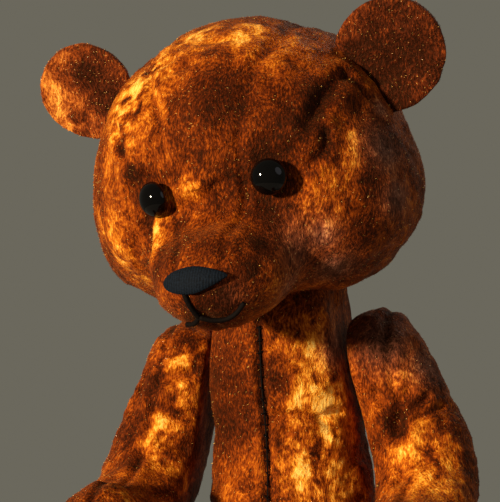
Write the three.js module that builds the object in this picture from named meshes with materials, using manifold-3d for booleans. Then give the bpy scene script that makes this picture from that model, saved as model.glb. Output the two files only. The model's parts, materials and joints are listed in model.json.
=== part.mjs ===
// A small jointed teddy bear, sitting with its legs forward and its head tilted.
// Millimetres, +Z up. The bear faces -Y and its own left side is +X. The origin is on
// the floor under the middle of the bear. Every cloth piece is a thin sewn panel, every
// limb holds its own stuffing, and five disc joints carry the head, arms and legs.
import * as THREE from 'three';
import { mergeVertices } from 'three/addons/utils/BufferGeometryUtils.js';
import Module from 'manifold-3d';

const wasm = await Module();
wasm.setup();

// ---- driving dimensions ----
const CLOTH = 1.0; // plush with its backing
const GAP = 0.3; // between pieces that touch
const SEAM_GAP = 0.3; // between two panels along their seam
const JOINT_GAP = 0.5; // between the cloth of two bodies at a joint

const TORSO_CENTRE = [0, 0, 46];
const HIPS = { centre: [0, 0, 14], radii: [20.5, 19.5, 17] };
const BELLY = { centre: [0, 0, 34], radii: [18.2, 19.4, 30] };
const CHEST = { centre: [0, 0.5, 68], radii: [17.6, 17, 24] };
const NECK = { centre: [1.2, 1, 86], radii: [14, 13.4, 13] };
const TORSO_BLEND = 9;
const LEAN = 0.08; // sideways for each millimetre of height, towards the bear's right
const LEAN_FROM = 71; // the height that the lean leaves in place

const NECK_PIVOT = [0, 0.5, 91.5];
const HEAD_TURN = -1.5; // degrees, towards the bear's right
const HEAD_ROLL = -9.3; // degrees, the crown leans to the bear's right
const HEAD_NOD = 13; // degrees, nose down
const HEAD_CENTRE = [0, -4, 24.8]; // above the neck pivot, in the head's own frame
const SKULL = { centre: [0, 0, 1], radii: [32.5, 30, 28.6] };
const CHEEK = { centre: [13.8, -4, -10.3], radii: [20.5, 22, 18.6] };
const MUZZLE = { centre: [0, -31, -16], radii: [14.6, 15.5, 11.4] };
const HEAD_BLEND = 10;
const MUZZLE_BLEND = 7.5;
const NECK_SEAT = 17; // radius of the head's flat face at the neck joint
const NECK_FALL = 0.35; // slope of the head's underside outside that face
const HEAD_HEART = [0, -11, -7]; // inside the head, where its surface is measured from
const GUSSET_HALF_WIDTHS = [[-60, 5], [-38, 5.2], [-26, 8.5], [-8, 15], [10, 15], [34, 8]];
const GUSSET_FLOOR_FRONT = -11.5; // the gusset ends at the nose and at the nape
const GUSSET_FLOOR_BACK = -16;

const EAR_CENTRE = { left: [34.6, 0.5, 16.3], right: [32.4, 0.5, 20.6] };
const EAR_RADIUS = { left: 12.6, right: 11.2 };
const EAR_HALF_THICKNESS = 3.1;
const EAR_CUP = 2.6;
const EAR_LEAN = 27; // degrees, the ear's upright leans outwards

const EYE_DIRECTION = { left: [12, -26.2, 1.2], right: [-9.7, -26.2, 0.8] };
const EYE_RADIUS = 4;
const EYE_HEIGHT = 3.6;
const EYE_SET = 0.9; // the back of the eye's distance from the cloth
const EYE_WIRE = 0.4;
const EYE_HOLE = 1.6;
const EYE_ROOM = 2.4; // room for the loop in the stuffing
const NOSE_WIDTH = 14.2;
const NOSE_HEIGHT = 5.4;
const NOSE_TOP = -10.2; // the nose's upper edge, under the head's centre
const NOSE_THICKNESS = 1.1;
const THREAD = 0.4; // radius of the mouth thread and of the seam thread
const MOUTH_DROP = [[-1.4, -16.8], [-1.2, -17.8], [-0.9, -19]]; // x and z on the muzzle
const MOUTH_LEFT = [[-0.9, -19], [0.7, -20], [2.4, -20.5], [4.1, -20], [5.6, -18.8]];
const MOUTH_RIGHT = [[-0.9, -19], [-1.8, -20], [-2.9, -20.7], [-4.1, -20.9]];
const SEAM_TOP = 78; // heights of the closing seam's thread
const SEAM_BOTTOM = 12;
const SEAM_STEP = 6;

const SHOULDER = { left: [15.6, 0.5, 70.5], right: [15.6, 0.5, 67.5] };
const ARM_FLARE = { left: 12, right: 5 }; // degrees, the arms spread away from the belly
const ARM_SWING = { left: -5, right: 8 }; // degrees, forwards is positive
const ARM = {
  path: [[6.4, 0, 12], [7, 0, 0], [9.4, -0.5, -12], [10.8, -3, -23], [10.8, -11, -31],
    [10.4, -22, -34], [10, -34, -32.5], [10, -41, -30.5]],
  across: [9, 10, 10.6, 10.8, 10.4, 9.4, 9.2, 9],
  side: [8.6, 9.8, 10.9, 11.6, 11, 9.8, 9, 8.6],
  cap: 10,
};
const ARM_SEAM = 10.3; // the seam round an arm, measured out from the shoulder joint
const HIP = [16, 1, 12.5];
const LEG_SPLAY = 15; // degrees, the feet point outwards
const LEG = {
  path: [[8, 13, 0], [8, 0, 0], [10, -18, -0.9], [11, -38, -2.1], [11, -56, -3.1], [11, -70, -3.1]],
  across: [12.7, 12.7, 11.8, 10.6, 9.6, 9.6],
  side: [12.2, 12.2, 11.8, 10.8, 10, 10],
  cap: 12,
};
const FOOT = { centre: [11, -64, 7.6], radii: [12.4, 17, 19.4] };
const SOLE_AT = 74; // the sole's distance from the hip

const JOINTS = {
  neck: { disc: 9.2 },
  shoulder: { disc: 6.6, pocket: 18 },
  hip: { disc: 6.8, pocket: 14.6 },
};
const DISC_THICKNESS = 2;
const WASHER_RADIUS = 4.4;
const WASHER_THICKNESS = 0.8;
const PIN_HOLE = 1.7;
const PIN_WIRE = 0.45;
const PIN_EYE = 1.9; // radius of the loop at the pin's head
const PIN_CURL = 3.6; // reach of each bent leg

// ---- where the stack of each joint lies, measured from its contact plane ----
const SKIN_FACE = JOINT_GAP / 2;
const SKIN_BACK = SKIN_FACE + CLOTH;
const DISC_FACE = SKIN_BACK + GAP;
const WASHER_FACE = DISC_FACE + DISC_THICKNESS + GAP;
const STACK_END = WASHER_FACE + WASHER_THICKNESS + GAP;
const PIN_EYE_END = STACK_END + 3 * PIN_WIRE + 2 * PIN_EYE;

// ---- materials ----
const plush = new THREE.MeshStandardMaterial({ color: 0x9a4a16, roughness: 0.85 });
const stuffing = new THREE.MeshStandardMaterial({ color: 0xe6e0d2, roughness: 1 });
const glass = new THREE.MeshStandardMaterial({ color: 0x060607, roughness: 0.05 });
const noseCloth = new THREE.MeshStandardMaterial({ color: 0x141c26, roughness: 0.8 });
const thread = new THREE.MeshStandardMaterial({ color: 0x2a1408, roughness: 0.8 });
const hardboard = new THREE.MeshStandardMaterial({ color: 0x7a5533, roughness: 0.8 });
const steel = new THREE.MeshStandardMaterial({ color: 0xb9bcc0, roughness: 0.35, metalness: 1 });

// ---- shapes as distance fields ----
// Distance from a point to an ellipsoid's surface, close enough near that surface.
function ellipsoidField(p, { centre, radii }) {
  const q = [0, 1, 2].map((i) => (p[i] - centre[i]) / radii[i]);
  const unit = Math.hypot(...q);
  const slope = Math.hypot(...q.map((value, i) => value / radii[i]));
  return slope < 1e-9 ? -Math.min(...radii) : unit * (unit - 1) / slope;
}

// Joins two fields with a rounded valley.
function blendFields(a, b, width) {
  const share = Math.max(width - Math.abs(a - b), 0) / width;
  return Math.min(a, b) - share * share * width / 4;
}

function headField(p) {
  const cheek = ellipsoidField([Math.abs(p[0]), p[1], p[2]], CHEEK);
  const skull = blendFields(ellipsoidField(p, SKULL), cheek, HEAD_BLEND);
  return blendFields(skull, ellipsoidField(p, MUZZLE), MUZZLE_BLEND);
}

function torsoField(p) {
  const seat = blendFields(ellipsoidField(p, HIPS), ellipsoidField(p, BELLY), TORSO_BLEND);
  const trunk = blendFields(seat, ellipsoidField(p, CHEST), TORSO_BLEND);
  return blendFields(trunk, ellipsoidField(p, NECK), TORSO_BLEND);
}

// The point where a ray from a centre leaves the field at the given level.
function surfacePoint(field, centre, direction, level) {
  const length = Math.hypot(...direction);
  const at = (reach) => centre.map((value, i) => value + direction[i] * reach / length);
  let near = 0;
  let far = 90;
  for (let step = 0; step < 34; step += 1) {
    const middle = (near + far) / 2;
    if (field(at(middle)) < level) near = middle;
    else far = middle;
  }
  return new THREE.Vector3(...at((near + far) / 2));
}

// A ball blown up until it fills the field at the given level.
function blownUp(field, centre, level, columns, rows, stretch = 1) {
  const ball = new THREE.SphereGeometry(1, columns, rows).rotateX(Math.PI / 2);
  const spots = ball.attributes.position;
  for (let i = 0; i < spots.count; i += 1) {
    const direction = [spots.getX(i), spots.getY(i), spots.getZ(i) * stretch];
    const spot = surfacePoint(field, centre, direction, level);
    spots.setXYZ(i, spot.x, spot.y, spot.z);
  }
  return ball;
}

// ---- booleans ----
function toSolid(geometry) {
  const bare = geometry.clone();
  bare.deleteAttribute('normal');
  bare.deleteAttribute('uv');
  const merged = mergeVertices(bare, 1e-4);
  return new wasm.Manifold(new wasm.Mesh({
    numProp: 3,
    vertProperties: new Float32Array(merged.attributes.position.array),
    triVerts: new Uint32Array(merged.index.array),
  }));
}

function toGeometry(solid) {
  const mesh = solid.getMesh();
  const geometry = new THREE.BufferGeometry();
  geometry.setAttribute('position', new THREE.BufferAttribute(mesh.vertProperties, 3));
  geometry.setIndex(new THREE.BufferAttribute(mesh.triVerts, 1));
  geometry.computeVertexNormals();
  return geometry;
}

function meshOf(name, shape, material) {
  const geometry = shape.isBufferGeometry ? shape : toGeometry(shape);
  const mesh = new THREE.Mesh(geometry, material);
  mesh.name = name;
  return mesh;
}

// A round plug along +Z from one height to another, moved by a matrix.
function plug(radius, from, to, matrix, sides = 14) {
  const rod = new THREE.CylinderGeometry(radius, radius, to - from, sides);
  rod.rotateX(Math.PI / 2).translate(0, 0, (from + to) / 2).applyMatrix4(matrix);
  return toSolid(rod);
}

function slab(size, centre) {
  return toSolid(new THREE.BoxGeometry(...size).translate(...centre));
}

// ---- the disc joint ----
// Points +Z of a stack along the bear's outward direction on the given side.
function outwards(side) {
  return new THREE.Matrix4().makeRotationY(side * Math.PI / 2);
}

function ringGeometry(hole, radius, from, to, sides) {
  const profile = [[hole, from], [radius, from], [radius, to], [hole, to], [hole, from]];
  const ring = new THREE.LatheGeometry(profile.map(([x, y]) => new THREE.Vector2(x, y)), sides);
  return ring.rotateX(Math.PI / 2);
}

// A split pin: an eye in the limb, two legs through the discs, and their ends bent apart.
function pinGeometry() {
  const leg = PIN_WIRE + 0.12;
  const eyeCentre = STACK_END + PIN_WIRE + PIN_EYE;
  const points = [[PIN_CURL, -STACK_END - 2.2], [PIN_CURL - 0.5, -STACK_END - 0.8],
    [1.5, -STACK_END - PIN_WIRE], [leg, -STACK_END + 1], [leg, 0], [leg, STACK_END - 0.6]];
  const eye = [];
  for (let i = 0; i <= 6; i += 1) {
    const turn = THREE.MathUtils.degToRad(-45 + 45 * i);
    eye.push([PIN_EYE * Math.cos(turn), eyeCentre + PIN_EYE * Math.sin(turn)]);
  }
  const back = points.slice().reverse().map(([x, z]) => [-x, z]);
  const route = [...points, ...eye, ...back].map(([x, z]) => new THREE.Vector3(x, 0, z));
  return tubeAlong(route, PIN_WIRE, 5, 24);
}

function tubeAlong(route, radius, sides, steps) {
  const section = new THREE.Shape();
  for (let i = 0; i < sides; i += 1) {
    const turn = 2 * Math.PI * i / sides;
    if (i === 0) section.moveTo(radius, 0);
    else section.lineTo(radius * Math.cos(turn), radius * Math.sin(turn));
  }
  const extrudePath = new THREE.CatmullRomCurve3(route, false, 'centripetal');
  return new THREE.ExtrudeGeometry(section, { steps, bevelEnabled: false, extrudePath });
}

// The two discs, two washers and the pin of one joint. The torso's half is placed by the
// matrix, and the limb's half stays in the limb's own frame.
function addJoint(name, kind, torso, limb, matrix, limbTurn) {
  const { disc } = JOINTS[kind];
  const discTop = DISC_FACE + DISC_THICKNESS;
  const washerTop = WASHER_FACE + WASHER_THICKNESS;
  const inner = [
    meshOf(`${name}_disc_torso`, ringGeometry(PIN_HOLE, disc, -discTop, -DISC_FACE, 16), hardboard),
    meshOf(`${name}_washer_torso`,
      ringGeometry(PIN_HOLE, WASHER_RADIUS, -washerTop, -WASHER_FACE, 10), steel),
    meshOf(`${name}_split_pin`, pinGeometry(), steel),
  ];
  const outer = [
    meshOf(`${name}_disc_limb`, ringGeometry(PIN_HOLE, disc, DISC_FACE, discTop, 16), hardboard),
    meshOf(`${name}_washer_limb`,
      ringGeometry(PIN_HOLE, WASHER_RADIUS, WASHER_FACE, washerTop, 10), steel),
  ];
  inner.forEach((mesh) => {
    mesh.applyMatrix4(matrix);
    torso.add(mesh);
  });
  outer.forEach((mesh) => {
    mesh.applyMatrix4(limbTurn);
    limb.add(mesh);
  });
}

// Room for a joint's hardware inside the limb's stuffing.
function limbPocket(kind, turn) {
  const room = plug(JOINTS[kind].disc + GAP, -1, WASHER_FACE, turn);
  return room.add(plug(WASHER_RADIUS + 2 * GAP, -1, PIN_EYE_END + GAP, turn, 10));
}

// Room for a joint's hardware inside the torso's stuffing.
function torsoPocket(kind, matrix) {
  const room = plug(JOINTS[kind].disc + GAP, -WASHER_FACE, 9, matrix);
  return room.add(plug(WASHER_RADIUS + 2 * GAP, -STACK_END - 3.2, 9, matrix, 10));
}

// ---- limbs ----
function along(values, share) {
  const place = share * (values.length - 1);
  const low = Math.min(Math.floor(place), values.length - 2);
  return THREE.MathUtils.lerp(values[low], values[low + 1], place - low);
}

// A stuffed tube of oval rings along a path, with domed ends, shrunk by an inset.
function stuffedTube(limb, inset, capRings, midRings, sides) {
  const curve = new THREE.CatmullRomCurve3(limb.path.map((p) => new THREE.Vector3(...p)));
  const length = curve.getLength();
  const cap = limb.cap - inset;
  const places = [];
  for (let i = 1; i <= capRings; i += 1) {
    const turn = i / capRings * Math.PI / 2;
    places.push([inset + cap * (1 - Math.cos(turn)), Math.sin(turn)]);
  }
  const mirrored = places.slice().reverse().map(([at, size]) => [length - at, size]);
  const span = length - 2 * limb.cap;
  for (let i = 1; i < midRings; i += 1) places.push([limb.cap + span * i / midRings, 1]);
  places.push(...mirrored);
  const points = [curve.getPointAt(inset / length)];
  places.forEach(([at, size]) => {
    const share = curve.getUtoTmapping(at / length);
    const middle = curve.getPoint(share);
    const heading = curve.getTangent(share).setX(0).normalize();
    const across = new THREE.Vector3(1, 0, 0).cross(heading);
    const width = (along(limb.side, share) - inset) * size;
    const depth = (along(limb.across, share) - inset) * size;
    for (let j = 0; j < sides; j += 1) {
      const turn = 2 * Math.PI * j / sides;
      const spot = middle.clone().addScaledVector(across, depth * Math.sin(turn));
      spot.x += width * Math.cos(turn);
      points.push(spot);
    }
  });
  points.push(curve.getPointAt(1 - inset / length));
  return closeRings(points, places.length, sides);
}

// Faces for a start point, rings of equal count and an end point.
function closeRings(points, rings, sides) {
  const index = [];
  const last = points.length - 1;
  for (let j = 0; j < sides; j += 1) {
    const next = (j + 1) % sides;
    index.push(0, 1 + j, 1 + next);
    for (let i = 0; i < rings - 1; i += 1) {
      const here = 1 + i * sides;
      const there = here + sides;
      index.push(here + j, there + next, here + next, here + j, there + j, there + next);
    }
    const end = 1 + (rings - 1) * sides;
    index.push(end + j, last, end + next);
  }
  const geometry = new THREE.BufferGeometry();
  geometry.setFromPoints(points);
  geometry.setIndex(index);
  return geometry;
}

function mirrorAcross(geometry, side) {
  if (side > 0) return geometry;
  const copy = geometry.clone().scale(-1, 1, 1);
  const { array } = copy.index;
  for (let i = 0; i < array.length; i += 3) [array[i], array[i + 1]] = [array[i + 1], array[i]];
  return copy;
}

// Keeps the part of a limb beyond the joint's contact plane by the given distance.
function beyondPlane(solid, side, distance) {
  return solid.trimByPlane([side, 0, 0], distance);
}

// The two halves of a sewn limb, split at the seam that runs round its middle.
function splitAtSeam(shell, side, seamX) {
  return {
    inner: shell.trimByPlane([-side, 0, 0], -seamX + SEAM_GAP / 2),
    outer: shell.trimByPlane([side, 0, 0], seamX + SEAM_GAP / 2),
  };
}

function sideOf(sideName) {
  return sideName === 'left' ? 1 : -1;
}

// How far the lean carries the torso sideways at a height.
function leanAt(height) {
  return (LEAN_FROM - height) * LEAN;
}

// The frame an arm swings in: its X is the axle, and it leans away from the belly.
function shoulderSocket(sideName) {
  const side = sideOf(sideName);
  const [x, y, z] = SHOULDER[sideName];
  const flare = THREE.MathUtils.degToRad(-side * ARM_FLARE[sideName]);
  return new THREE.Matrix4().makeRotationY(flare).setPosition(side * x + leanAt(z), y, z);
}

// The frame a leg swings in, turned outwards in plan.
function hipSocket(sideName) {
  const side = sideOf(sideName);
  const socket = new THREE.Matrix4().makeRotationZ(THREE.MathUtils.degToRad(side * LEG_SPLAY));
  return socket.setPosition(side * HIP[0] + leanAt(HIP[2]), HIP[1], HIP[2]);
}

function addArm(bear, torso, sideName) {
  const side = sideOf(sideName);
  const arm = new THREE.Group();
  const turn = outwards(side);
  const hole = plug(PIN_HOLE, -2, 4, turn, 10);
  const body = (inset, face, rings, sides) => {
    const tube = mirrorAcross(stuffedTube(ARM, inset, 2, rings, sides), side);
    return beyondPlane(toSolid(tube), side, face);
  };
  const shell = body(0, SKIN_FACE, 6, 10).subtract(body(CLOTH, SKIN_BACK, 4, 8));
  const halves = splitAtSeam(shell.subtract(hole), side, ARM_SEAM);
  const filling = body(CLOTH + GAP, SKIN_BACK + GAP, 4, 8).subtract(limbPocket('shoulder', turn));
  arm.add(meshOf(`arm_${sideName}_inner_panel`, halves.inner, plush));
  arm.add(meshOf(`arm_${sideName}_outer_panel`, halves.outer, plush));
  arm.add(meshOf(`arm_${sideName}_stuffing`, filling, stuffing));
  const socket = shoulderSocket(sideName);
  addJoint(`shoulder_${sideName}`, 'shoulder', torso, arm, socket.clone().multiply(turn), turn);
  const swing = THREE.MathUtils.degToRad(-ARM_SWING[sideName]);
  arm.applyMatrix4(socket.clone().multiply(new THREE.Matrix4().makeRotationX(swing)));
  bear.add(arm);
}

function addLeg(bear, torso, sideName) {
  const side = sideOf(sideName);
  const leg = new THREE.Group();
  const turn = outwards(side);
  const hole = plug(PIN_HOLE, -2, 4, turn, 10);
  const body = (inset, face, rings, sides) => {
    const tube = toSolid(mirrorAcross(stuffedTube(LEG, inset, 2, rings, sides), side));
    const radii = FOOT.radii.map((radius) => radius - inset);
    const ball = new THREE.SphereGeometry(1, sides, 7).rotateX(Math.PI / 2);
    ball.scale(...radii).translate(side * FOOT.centre[0], FOOT.centre[1], FOOT.centre[2]);
    const whole = tube.add(toSolid(ball)).trimByPlane([0, 1, 0], inset - SOLE_AT);
    return beyondPlane(whole, side, face).trimByPlane([0, 0, 1], inset - HIP[2]);
  };
  const shell = body(0, SKIN_FACE, 5, 10).subtract(body(CLOTH, SKIN_BACK, 3, 8)).subtract(hole);
  const soleFace = CLOTH + SEAM_GAP - SOLE_AT;
  const halves = splitAtSeam(shell.trimByPlane([0, 1, 0], soleFace), side, FOOT.centre[0]);
  const sole = shell.trimByPlane([0, -1, 0], SOLE_AT - CLOTH);
  const filling = body(CLOTH + GAP, SKIN_BACK + GAP, 3, 8).subtract(limbPocket('hip', turn));
  leg.add(meshOf(`leg_${sideName}_inner_panel`, halves.inner, plush));
  leg.add(meshOf(`leg_${sideName}_outer_panel`, halves.outer, plush));
  leg.add(meshOf(`foot_${sideName}_sole`, sole, plush));
  leg.add(meshOf(`leg_${sideName}_stuffing`, filling, stuffing));
  const socket = hipSocket(sideName);
  addJoint(`hip_${sideName}`, 'hip', torso, leg, socket.clone().multiply(turn), turn);
  leg.applyMatrix4(socket);
  bear.add(leg);
}

// ---- torso ----
// The limb joints' frames, each with +Z along the bear's outward direction.
function limbJointFrames() {
  return ['left', 'right'].flatMap((sideName) => {
    const turn = outwards(sideOf(sideName));
    return [
      { kind: 'shoulder', matrix: shoulderSocket(sideName).multiply(turn) },
      { kind: 'hip', matrix: hipSocket(sideName).multiply(turn) },
    ];
  });
}

function headFrame() {
  const turn = THREE.MathUtils.degToRad(HEAD_TURN);
  const roll = THREE.MathUtils.degToRad(HEAD_ROLL);
  const nod = THREE.MathUtils.degToRad(HEAD_NOD);
  const matrix = new THREE.Matrix4().makeRotationZ(turn);
  matrix.multiply(new THREE.Matrix4().makeRotationY(roll));
  matrix.multiply(new THREE.Matrix4().makeRotationX(nod));
  return matrix.setPosition(...NECK_PIVOT);
}

function addTorso(torso) {
  const neck = headFrame();
  const frames = limbJointFrames();
  const lean = new THREE.Matrix4().makeShear(0, 0, 0, 0, -LEAN, 0).setPosition(leanAt(0), 0, 0);
  const body = (inset, columns, rows) => {
    const upright = blownUp(torsoField, TORSO_CENTRE, -inset, columns, rows, 1.5);
    let trunk = toSolid(upright.applyMatrix4(lean));
    trunk = trunk.trimByPlane([0, 0, 1], inset);
    trunk = trunk.subtract(plug(30, -SKIN_FACE - inset, 20, neck));
    frames.forEach(({ kind, matrix }) => {
      const { pocket } = JOINTS[kind];
      trunk = trunk.subtract(plug(pocket + inset, -SKIN_FACE - inset, 20, matrix));
    });
    return trunk;
  };
  let shell = body(0, 20, 14).subtract(body(CLOTH, 16, 11));
  let filling = body(CLOTH + GAP, 16, 11).subtract(torsoPocket('neck', neck));
  shell = shell.subtract(plug(PIN_HOLE, -4, 4, neck, 10));
  frames.forEach(({ kind, matrix }) => {
    shell = shell.subtract(plug(PIN_HOLE, -4, 4, matrix, 10));
    filling = filling.subtract(torsoPocket(kind, matrix));
  });
  const left = shell.trimByPlane([1, 0, LEAN], leanAt(0) + SEAM_GAP / 2);
  const right = shell.trimByPlane([-1, 0, -LEAN], SEAM_GAP / 2 - leanAt(0));
  torso.add(meshOf('torso_left_panel', left, plush));
  torso.add(meshOf('torso_right_panel', right, plush));
  torso.add(meshOf('torso_stuffing', filling, stuffing));
  const route = [];
  for (let height = SEAM_TOP; height >= SEAM_BOTTOM; height -= SEAM_STEP) {
    const spot = surfacePoint(torsoField, [0, 0, height], [0, -1, 0], THREAD + GAP + 0.1);
    route.push(spot.applyMatrix4(lean));
  }
  torso.add(meshOf('closing_seam_thread', tubeAlong(route, THREAD, 5, 12), thread));
}

// ---- head ----
function headSkin(level, columns, rows) {
  return toSolid(blownUp(headField, HEAD_HEART, level, columns, rows));
}

// The gusset runs from the nose over the crown to the nape, seen from above as a long leaf.
function gussetBlock(grow) {
  const outline = new THREE.Shape();
  const left = GUSSET_HALF_WIDTHS.map(([y, half]) => new THREE.Vector2(half + grow, y));
  const right = GUSSET_HALF_WIDTHS.slice().reverse().map(([y, half]) => new THREE.Vector2(-half - grow, y));
  outline.setFromPoints([...left, ...right]);
  const block = new THREE.ExtrudeGeometry(outline, { depth: 70, bevelEnabled: false });
  const positions = block.attributes.position;
  const slope = (GUSSET_FLOOR_BACK - GUSSET_FLOOR_FRONT) / 90;
  for (let i = 0; i < positions.count; i += 1) {
    const floor = GUSSET_FLOOR_FRONT + (positions.getY(i) + 48) * slope - grow;
    positions.setZ(i, positions.getZ(i) + floor);
  }
  return toSolid(block);
}

// The direction square to the head's surface at a point.
function headNormal(spot) {
  const step = 0.05;
  const slopes = [0, 1, 2].map((axis) => {
    const ahead = spot.toArray();
    const behind = spot.toArray();
    ahead[axis] += step;
    behind[axis] -= step;
    return headField(ahead) - headField(behind);
  });
  return new THREE.Vector3(...slopes).normalize();
}

function eyeMatrix(sideName) {
  const spot = surfacePoint(headField, [0, 0, 0], EYE_DIRECTION[sideName], EYE_SET);
  const turn = new THREE.Quaternion().setFromUnitVectors(new THREE.Vector3(0, 0, 1), headNormal(spot));
  return new THREE.Matrix4().makeRotationFromQuaternion(turn).setPosition(spot);
}

// A glass eye: a tall dome with a rounded back edge.
function eyeGeometry() {
  const profile = [new THREE.Vector2(0, 0), new THREE.Vector2(EYE_RADIUS * 0.82, 0)];
  for (let i = 0; i <= 4; i += 1) {
    const turn = i / 4 * Math.PI / 2;
    const rise = EYE_HEIGHT - EYE_RADIUS;
    profile.push(new THREE.Vector2(EYE_RADIUS * Math.cos(turn), rise + EYE_RADIUS * Math.sin(turn)));
  }
  profile[profile.length - 1].x = 0;
  return new THREE.LatheGeometry(profile, 14).rotateX(Math.PI / 2);
}

// The wire loop behind an eye, which the tie thread pulls into the head.
function eyeLoopGeometry() {
  const points = [[0.7, -0.45], [0.75, -2.2], [1.7, -4], [1.2, -5.8], [-1.2, -5.8], [-1.7, -4],
    [-0.75, -2.2], [-0.7, -0.45]];
  return tubeAlong(points.map(([x, z]) => new THREE.Vector3(x, 0, z)), EYE_WIRE, 5, 12);
}

function noseBlock() {
  const half = NOSE_WIDTH / 2;
  const outline = new THREE.Shape();
  outline.moveTo(-half, -NOSE_HEIGHT * 0.4);
  outline.quadraticCurveTo(-half * 0.7, 0, 0, 0);
  outline.quadraticCurveTo(half * 0.7, 0, half, -NOSE_HEIGHT * 0.4);
  outline.quadraticCurveTo(half * 0.55, -NOSE_HEIGHT, 0, -NOSE_HEIGHT);
  outline.quadraticCurveTo(-half * 0.55, -NOSE_HEIGHT, -half, -NOSE_HEIGHT * 0.4);
  const block = new THREE.ExtrudeGeometry(outline, { depth: 30, bevelEnabled: false, curveSegments: 5 });
  return toSolid(block.rotateX(Math.PI / 2).translate(0, -30, NOSE_TOP));
}

// A route over the muzzle, from points given as x and z, held off the cloth by the thread.
function muzzleRoute(points) {
  const from = [0, MUZZLE.centre[1], MUZZLE.centre[2]];
  return points.map(([x, z]) => {
    const direction = [x, -9, z - from[2]];
    return surfacePoint(headField, from, direction, THREAD + GAP + 0.1);
  });
}

function mouthThread() {
  const strands = [MOUTH_DROP, MOUTH_LEFT, MOUTH_RIGHT];
  return strands.map((points) => toSolid(tubeAlong(muzzleRoute(points), THREAD, 5, 8)))
    .reduce((whole, strand) => whole.add(strand));
}

// Half of an ear, flat side in, bent into a shallow cup that opens forwards.
function earHalf(sideName, face) {
  const side = sideOf(sideName);
  const radius = EAR_RADIUS[sideName];
  const profile = [new THREE.Vector2(0, 0), new THREE.Vector2(radius, 0)];
  for (let i = 1; i <= 3; i += 1) {
    const turn = i / 3 * Math.PI / 2;
    const height = EAR_HALF_THICKNESS * Math.sin(turn);
    profile.push(new THREE.Vector2(i === 3 ? 0 : radius * Math.cos(turn), height));
  }
  const half = new THREE.LatheGeometry(profile, 16).translate(0, SEAM_GAP / 2, 0);
  if (face === 'front') half.rotateX(Math.PI);
  const spots = half.attributes.position;
  for (let i = 0; i < spots.count; i += 1) {
    const reach = (spots.getX(i) ** 2 + spots.getZ(i) ** 2) / radius ** 2;
    spots.setY(i, spots.getY(i) - EAR_CUP * reach);
  }
  half.rotateY(THREE.MathUtils.degToRad(side * EAR_LEAN));
  const [x, y, z] = EAR_CENTRE[sideName];
  return toSolid(half.translate(side * x, y, z));
}

// What is cut from under the head: flat at the neck joint, and falling away outside it.
function underHead(inset, axis) {
  const depth = 14;
  const cone = new THREE.CylinderGeometry(NECK_SEAT, NECK_SEAT + depth / NECK_FALL, depth, 28);
  cone.rotateX(Math.PI / 2).translate(0, 0, SKIN_FACE + inset - depth / 2);
  return toSolid(cone.applyMatrix4(axis));
}

function addHead(bear, torso) {
  const head = new THREE.Group();
  const pieces = new THREE.Group();
  const axis = new THREE.Matrix4().makeTranslation(0, -HEAD_CENTRE[1], -HEAD_CENTRE[2]);
  const eyes = { left: eyeMatrix('left'), right: eyeMatrix('right') };
  const eyeHoles = Object.values(eyes).map((matrix) => plug(EYE_HOLE, -3, 2, matrix, 8));
  const eyeRooms = Object.values(eyes).map((matrix) => plug(EYE_ROOM, -7, 2, matrix, 10));
  const skin = (inset, columns, rows) => headSkin(-inset, columns, rows)
    .subtract(underHead(inset, axis));
  let shell = skin(0, 24, 16).subtract(skin(CLOTH, 16, 12)).subtract(plug(PIN_HOLE, -2, 4, axis, 10));
  eyeHoles.forEach((hole) => {
    shell = shell.subtract(hole);
  });
  let filling = skin(CLOTH + GAP, 16, 12).subtract(limbPocket('neck', axis));
  eyeRooms.forEach((room) => {
    filling = filling.subtract(room);
  });
  const sides = shell.subtract(gussetBlock(SEAM_GAP));
  pieces.add(meshOf('head_left_panel', sides.trimByPlane([1, 0, 0], SEAM_GAP / 2), plush));
  pieces.add(meshOf('head_right_panel', sides.trimByPlane([-1, 0, 0], SEAM_GAP / 2), plush));
  pieces.add(meshOf('head_gusset', shell.intersect(gussetBlock(0)), plush));
  pieces.add(meshOf('head_stuffing', filling, stuffing));
  const clear = headSkin(GAP, 24, 16);
  Object.entries(eyes).forEach(([name, matrix]) => {
    pieces.add(meshOf(`eye_${name}`, eyeGeometry().applyMatrix4(matrix), glass));
    pieces.add(meshOf(`eye_${name}_loop`, eyeLoopGeometry().applyMatrix4(matrix), steel));
  });
  const nosePatch = headSkin(GAP + NOSE_THICKNESS, 24, 16).subtract(clear).intersect(noseBlock());
  pieces.add(meshOf('nose', nosePatch, noseCloth));
  pieces.add(meshOf('mouth_thread', mouthThread(), thread));
  ['left', 'right'].forEach((sideName) => {
    ['front', 'back'].forEach((face) => {
      const half = earHalf(sideName, face).subtract(clear);
      pieces.add(meshOf(`ear_${sideName}_${face}`, half, plush));
    });
  });
  pieces.position.set(...HEAD_CENTRE);
  head.add(pieces);
  addJoint('neck', 'neck', torso, head, headFrame(), new THREE.Matrix4());
  head.applyMatrix4(headFrame());
  bear.add(head);
}

// ---- the bear ----
const bear = new THREE.Group();
const torso = new THREE.Group();
addTorso(torso);
addHead(bear, torso);
['left', 'right'].forEach((sideName) => {
  addArm(bear, torso, sideName);
  addLeg(bear, torso, sideName);
});
bear.add(torso);
const extent = new THREE.Box3().setFromObject(bear, true);
const middle = extent.getCenter(new THREE.Vector3());
bear.position.set(-middle.x, -middle.y, -extent.min.z);

export default bear;
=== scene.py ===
import json
from math import atan2, cos, pi, radians, sin

import bmesh
import bpy
import numpy as np
from mathutils import Matrix, Vector, noise


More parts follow.
